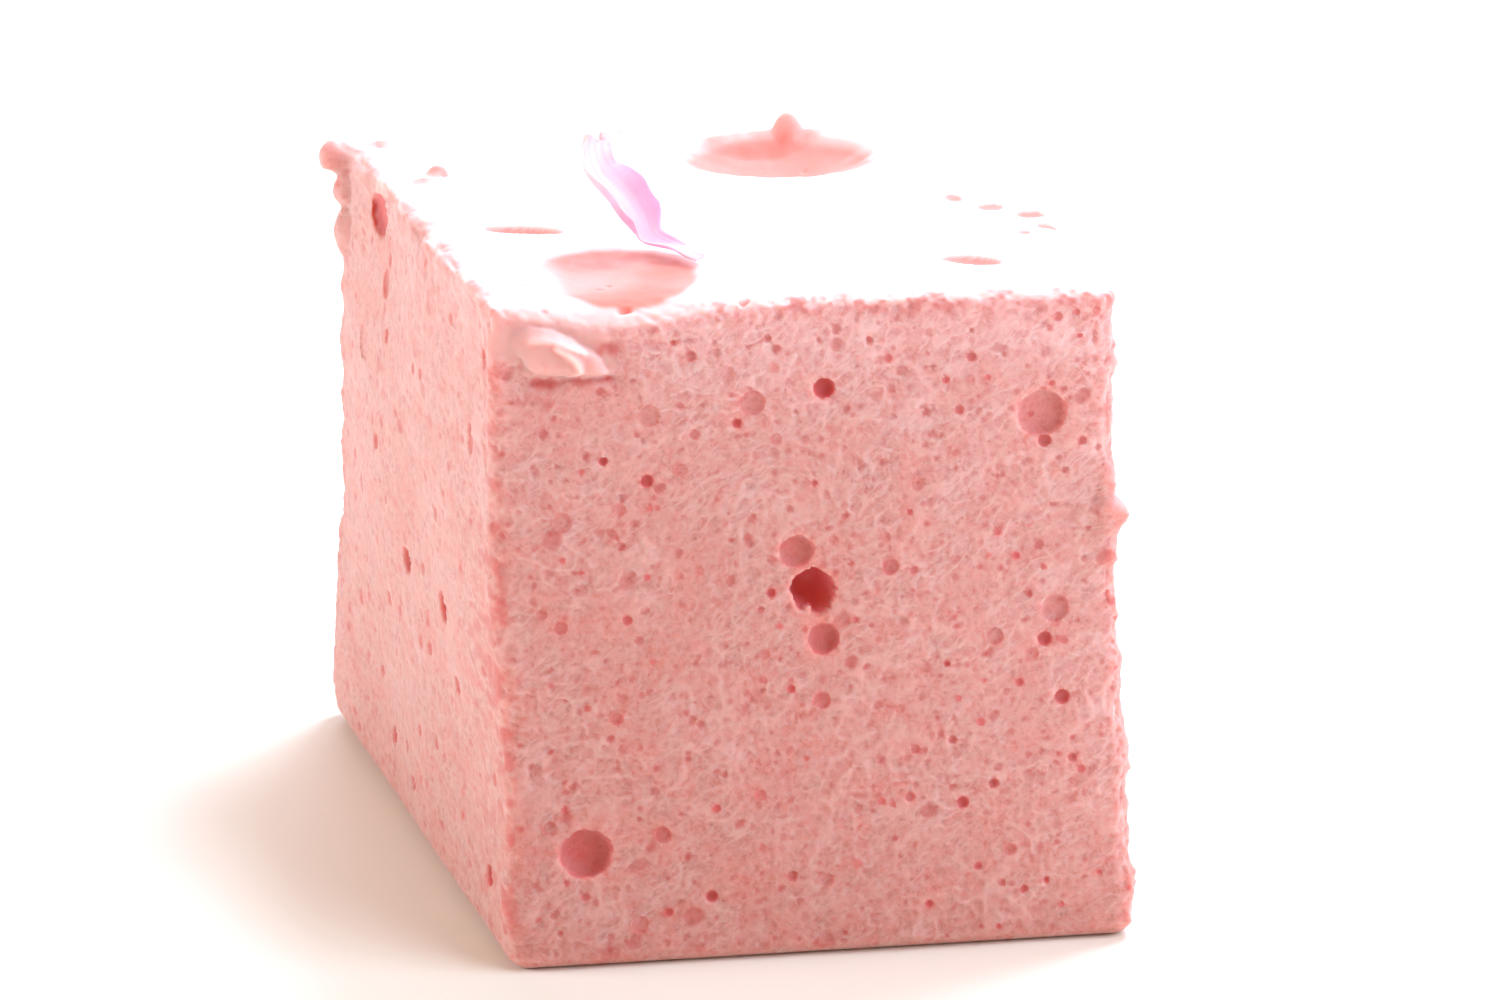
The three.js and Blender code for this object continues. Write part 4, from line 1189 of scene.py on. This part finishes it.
DAYLIGHT = (0.85, 1.0, 1.25)
LIGHTS = {
    # place in metres, size in metres, watts, colour
    "window_behind": ((0.3, 0.27, 0.72), 0.36, 6.4, DAYLIGHT),
    "backdrop": ((0.15, 0.95, 0.3), 0.6, 7.3, DAYLIGHT),
    "window_front": ((0.54, -0.45, 0.55), 0.8, 7.05, DAYLIGHT),
    "left_low": ((-0.78, 0.02, 0.34), 0.45, 4.2, (0.9, 0.97, 1.12)),
}
ROOM, ROOM_STRENGTH = (1.0, 0.8, 0.4), 0.353


def make_lights():
    for name, settings in LIGHTS.items():
        area_light(name, *settings)
    world = bpy.data.worlds.new("bright_room")
    world.use_nodes = True
    background = world.node_tree.nodes["Background"]
    background.inputs["Color"].default_value = (*ROOM, 1.0)
    background.inputs["Strength"].default_value = ROOM_STRENGTH
    bpy.context.scene.world = world


# The camera looks at a point aside of and above the middle of the block's foot
CAMERA_AZIMUTH, CAMERA_ELEVATION, CAMERA_ROLL = map(math.radians, (-13.0, 19.0, 0.5))
CAMERA_DISTANCE, CAMERA_ASIDE, CAMERA_ABOVE = 485.0, 1.3, 19.4
CAMERA_LENS, CAMERA_SENSOR = 192.0, 36.0
CAMERA_NEAR, CAMERA_FAR = 0.01, 10.0


def make_camera():
    sin_a, cos_a = math.sin(CAMERA_AZIMUTH), math.cos(CAMERA_AZIMUTH)
    sin_e, cos_e = math.sin(CAMERA_ELEVATION), math.cos(CAMERA_ELEVATION)
    back = np.array([sin_a * cos_e, -cos_a * cos_e, sin_e])
    level = np.array([cos_a, sin_a, 0.0])
    rise = np.cross(back, level)
    right = math.cos(CAMERA_ROLL) * level + math.sin(CAMERA_ROLL) * rise
    up = math.cos(CAMERA_ROLL) * rise - math.sin(CAMERA_ROLL) * level
    place = (back * CAMERA_DISTANCE + right * CAMERA_ASIDE + up * CAMERA_ABOVE + ROW_SHIFT) * MM
    data = bpy.data.cameras.new("camera")
    data.lens = CAMERA_LENS
    data.sensor_width = CAMERA_SENSOR
    data.clip_start, data.clip_end = CAMERA_NEAR, CAMERA_FAR
    camera = bpy.data.objects.new("camera", data)
    turn = Matrix([list(row) for row in np.stack([right, up, back], axis=1)])
    camera.matrix_world = Matrix.Translation(place) @ turn.to_4x4()
    bpy.context.scene.collection.objects.link(camera)
    bpy.context.scene.camera = camera


# ---- Assembly
foam = Foam()
foam.build()
foam_piece = mesh_object("foam_block", foam.point, foam.lattice.quads(), foam_material(),
                         foam.values())
add_uv(foam_piece, foam.lattice)
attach(foam_piece, "root")
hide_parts("marshmallow")

petal_piece = petal()
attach(petal_piece, "root")
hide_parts("petal")

make_floor()
make_lights()
make_camera()
bpy.context.scene.view_settings.view_transform = "Standard"
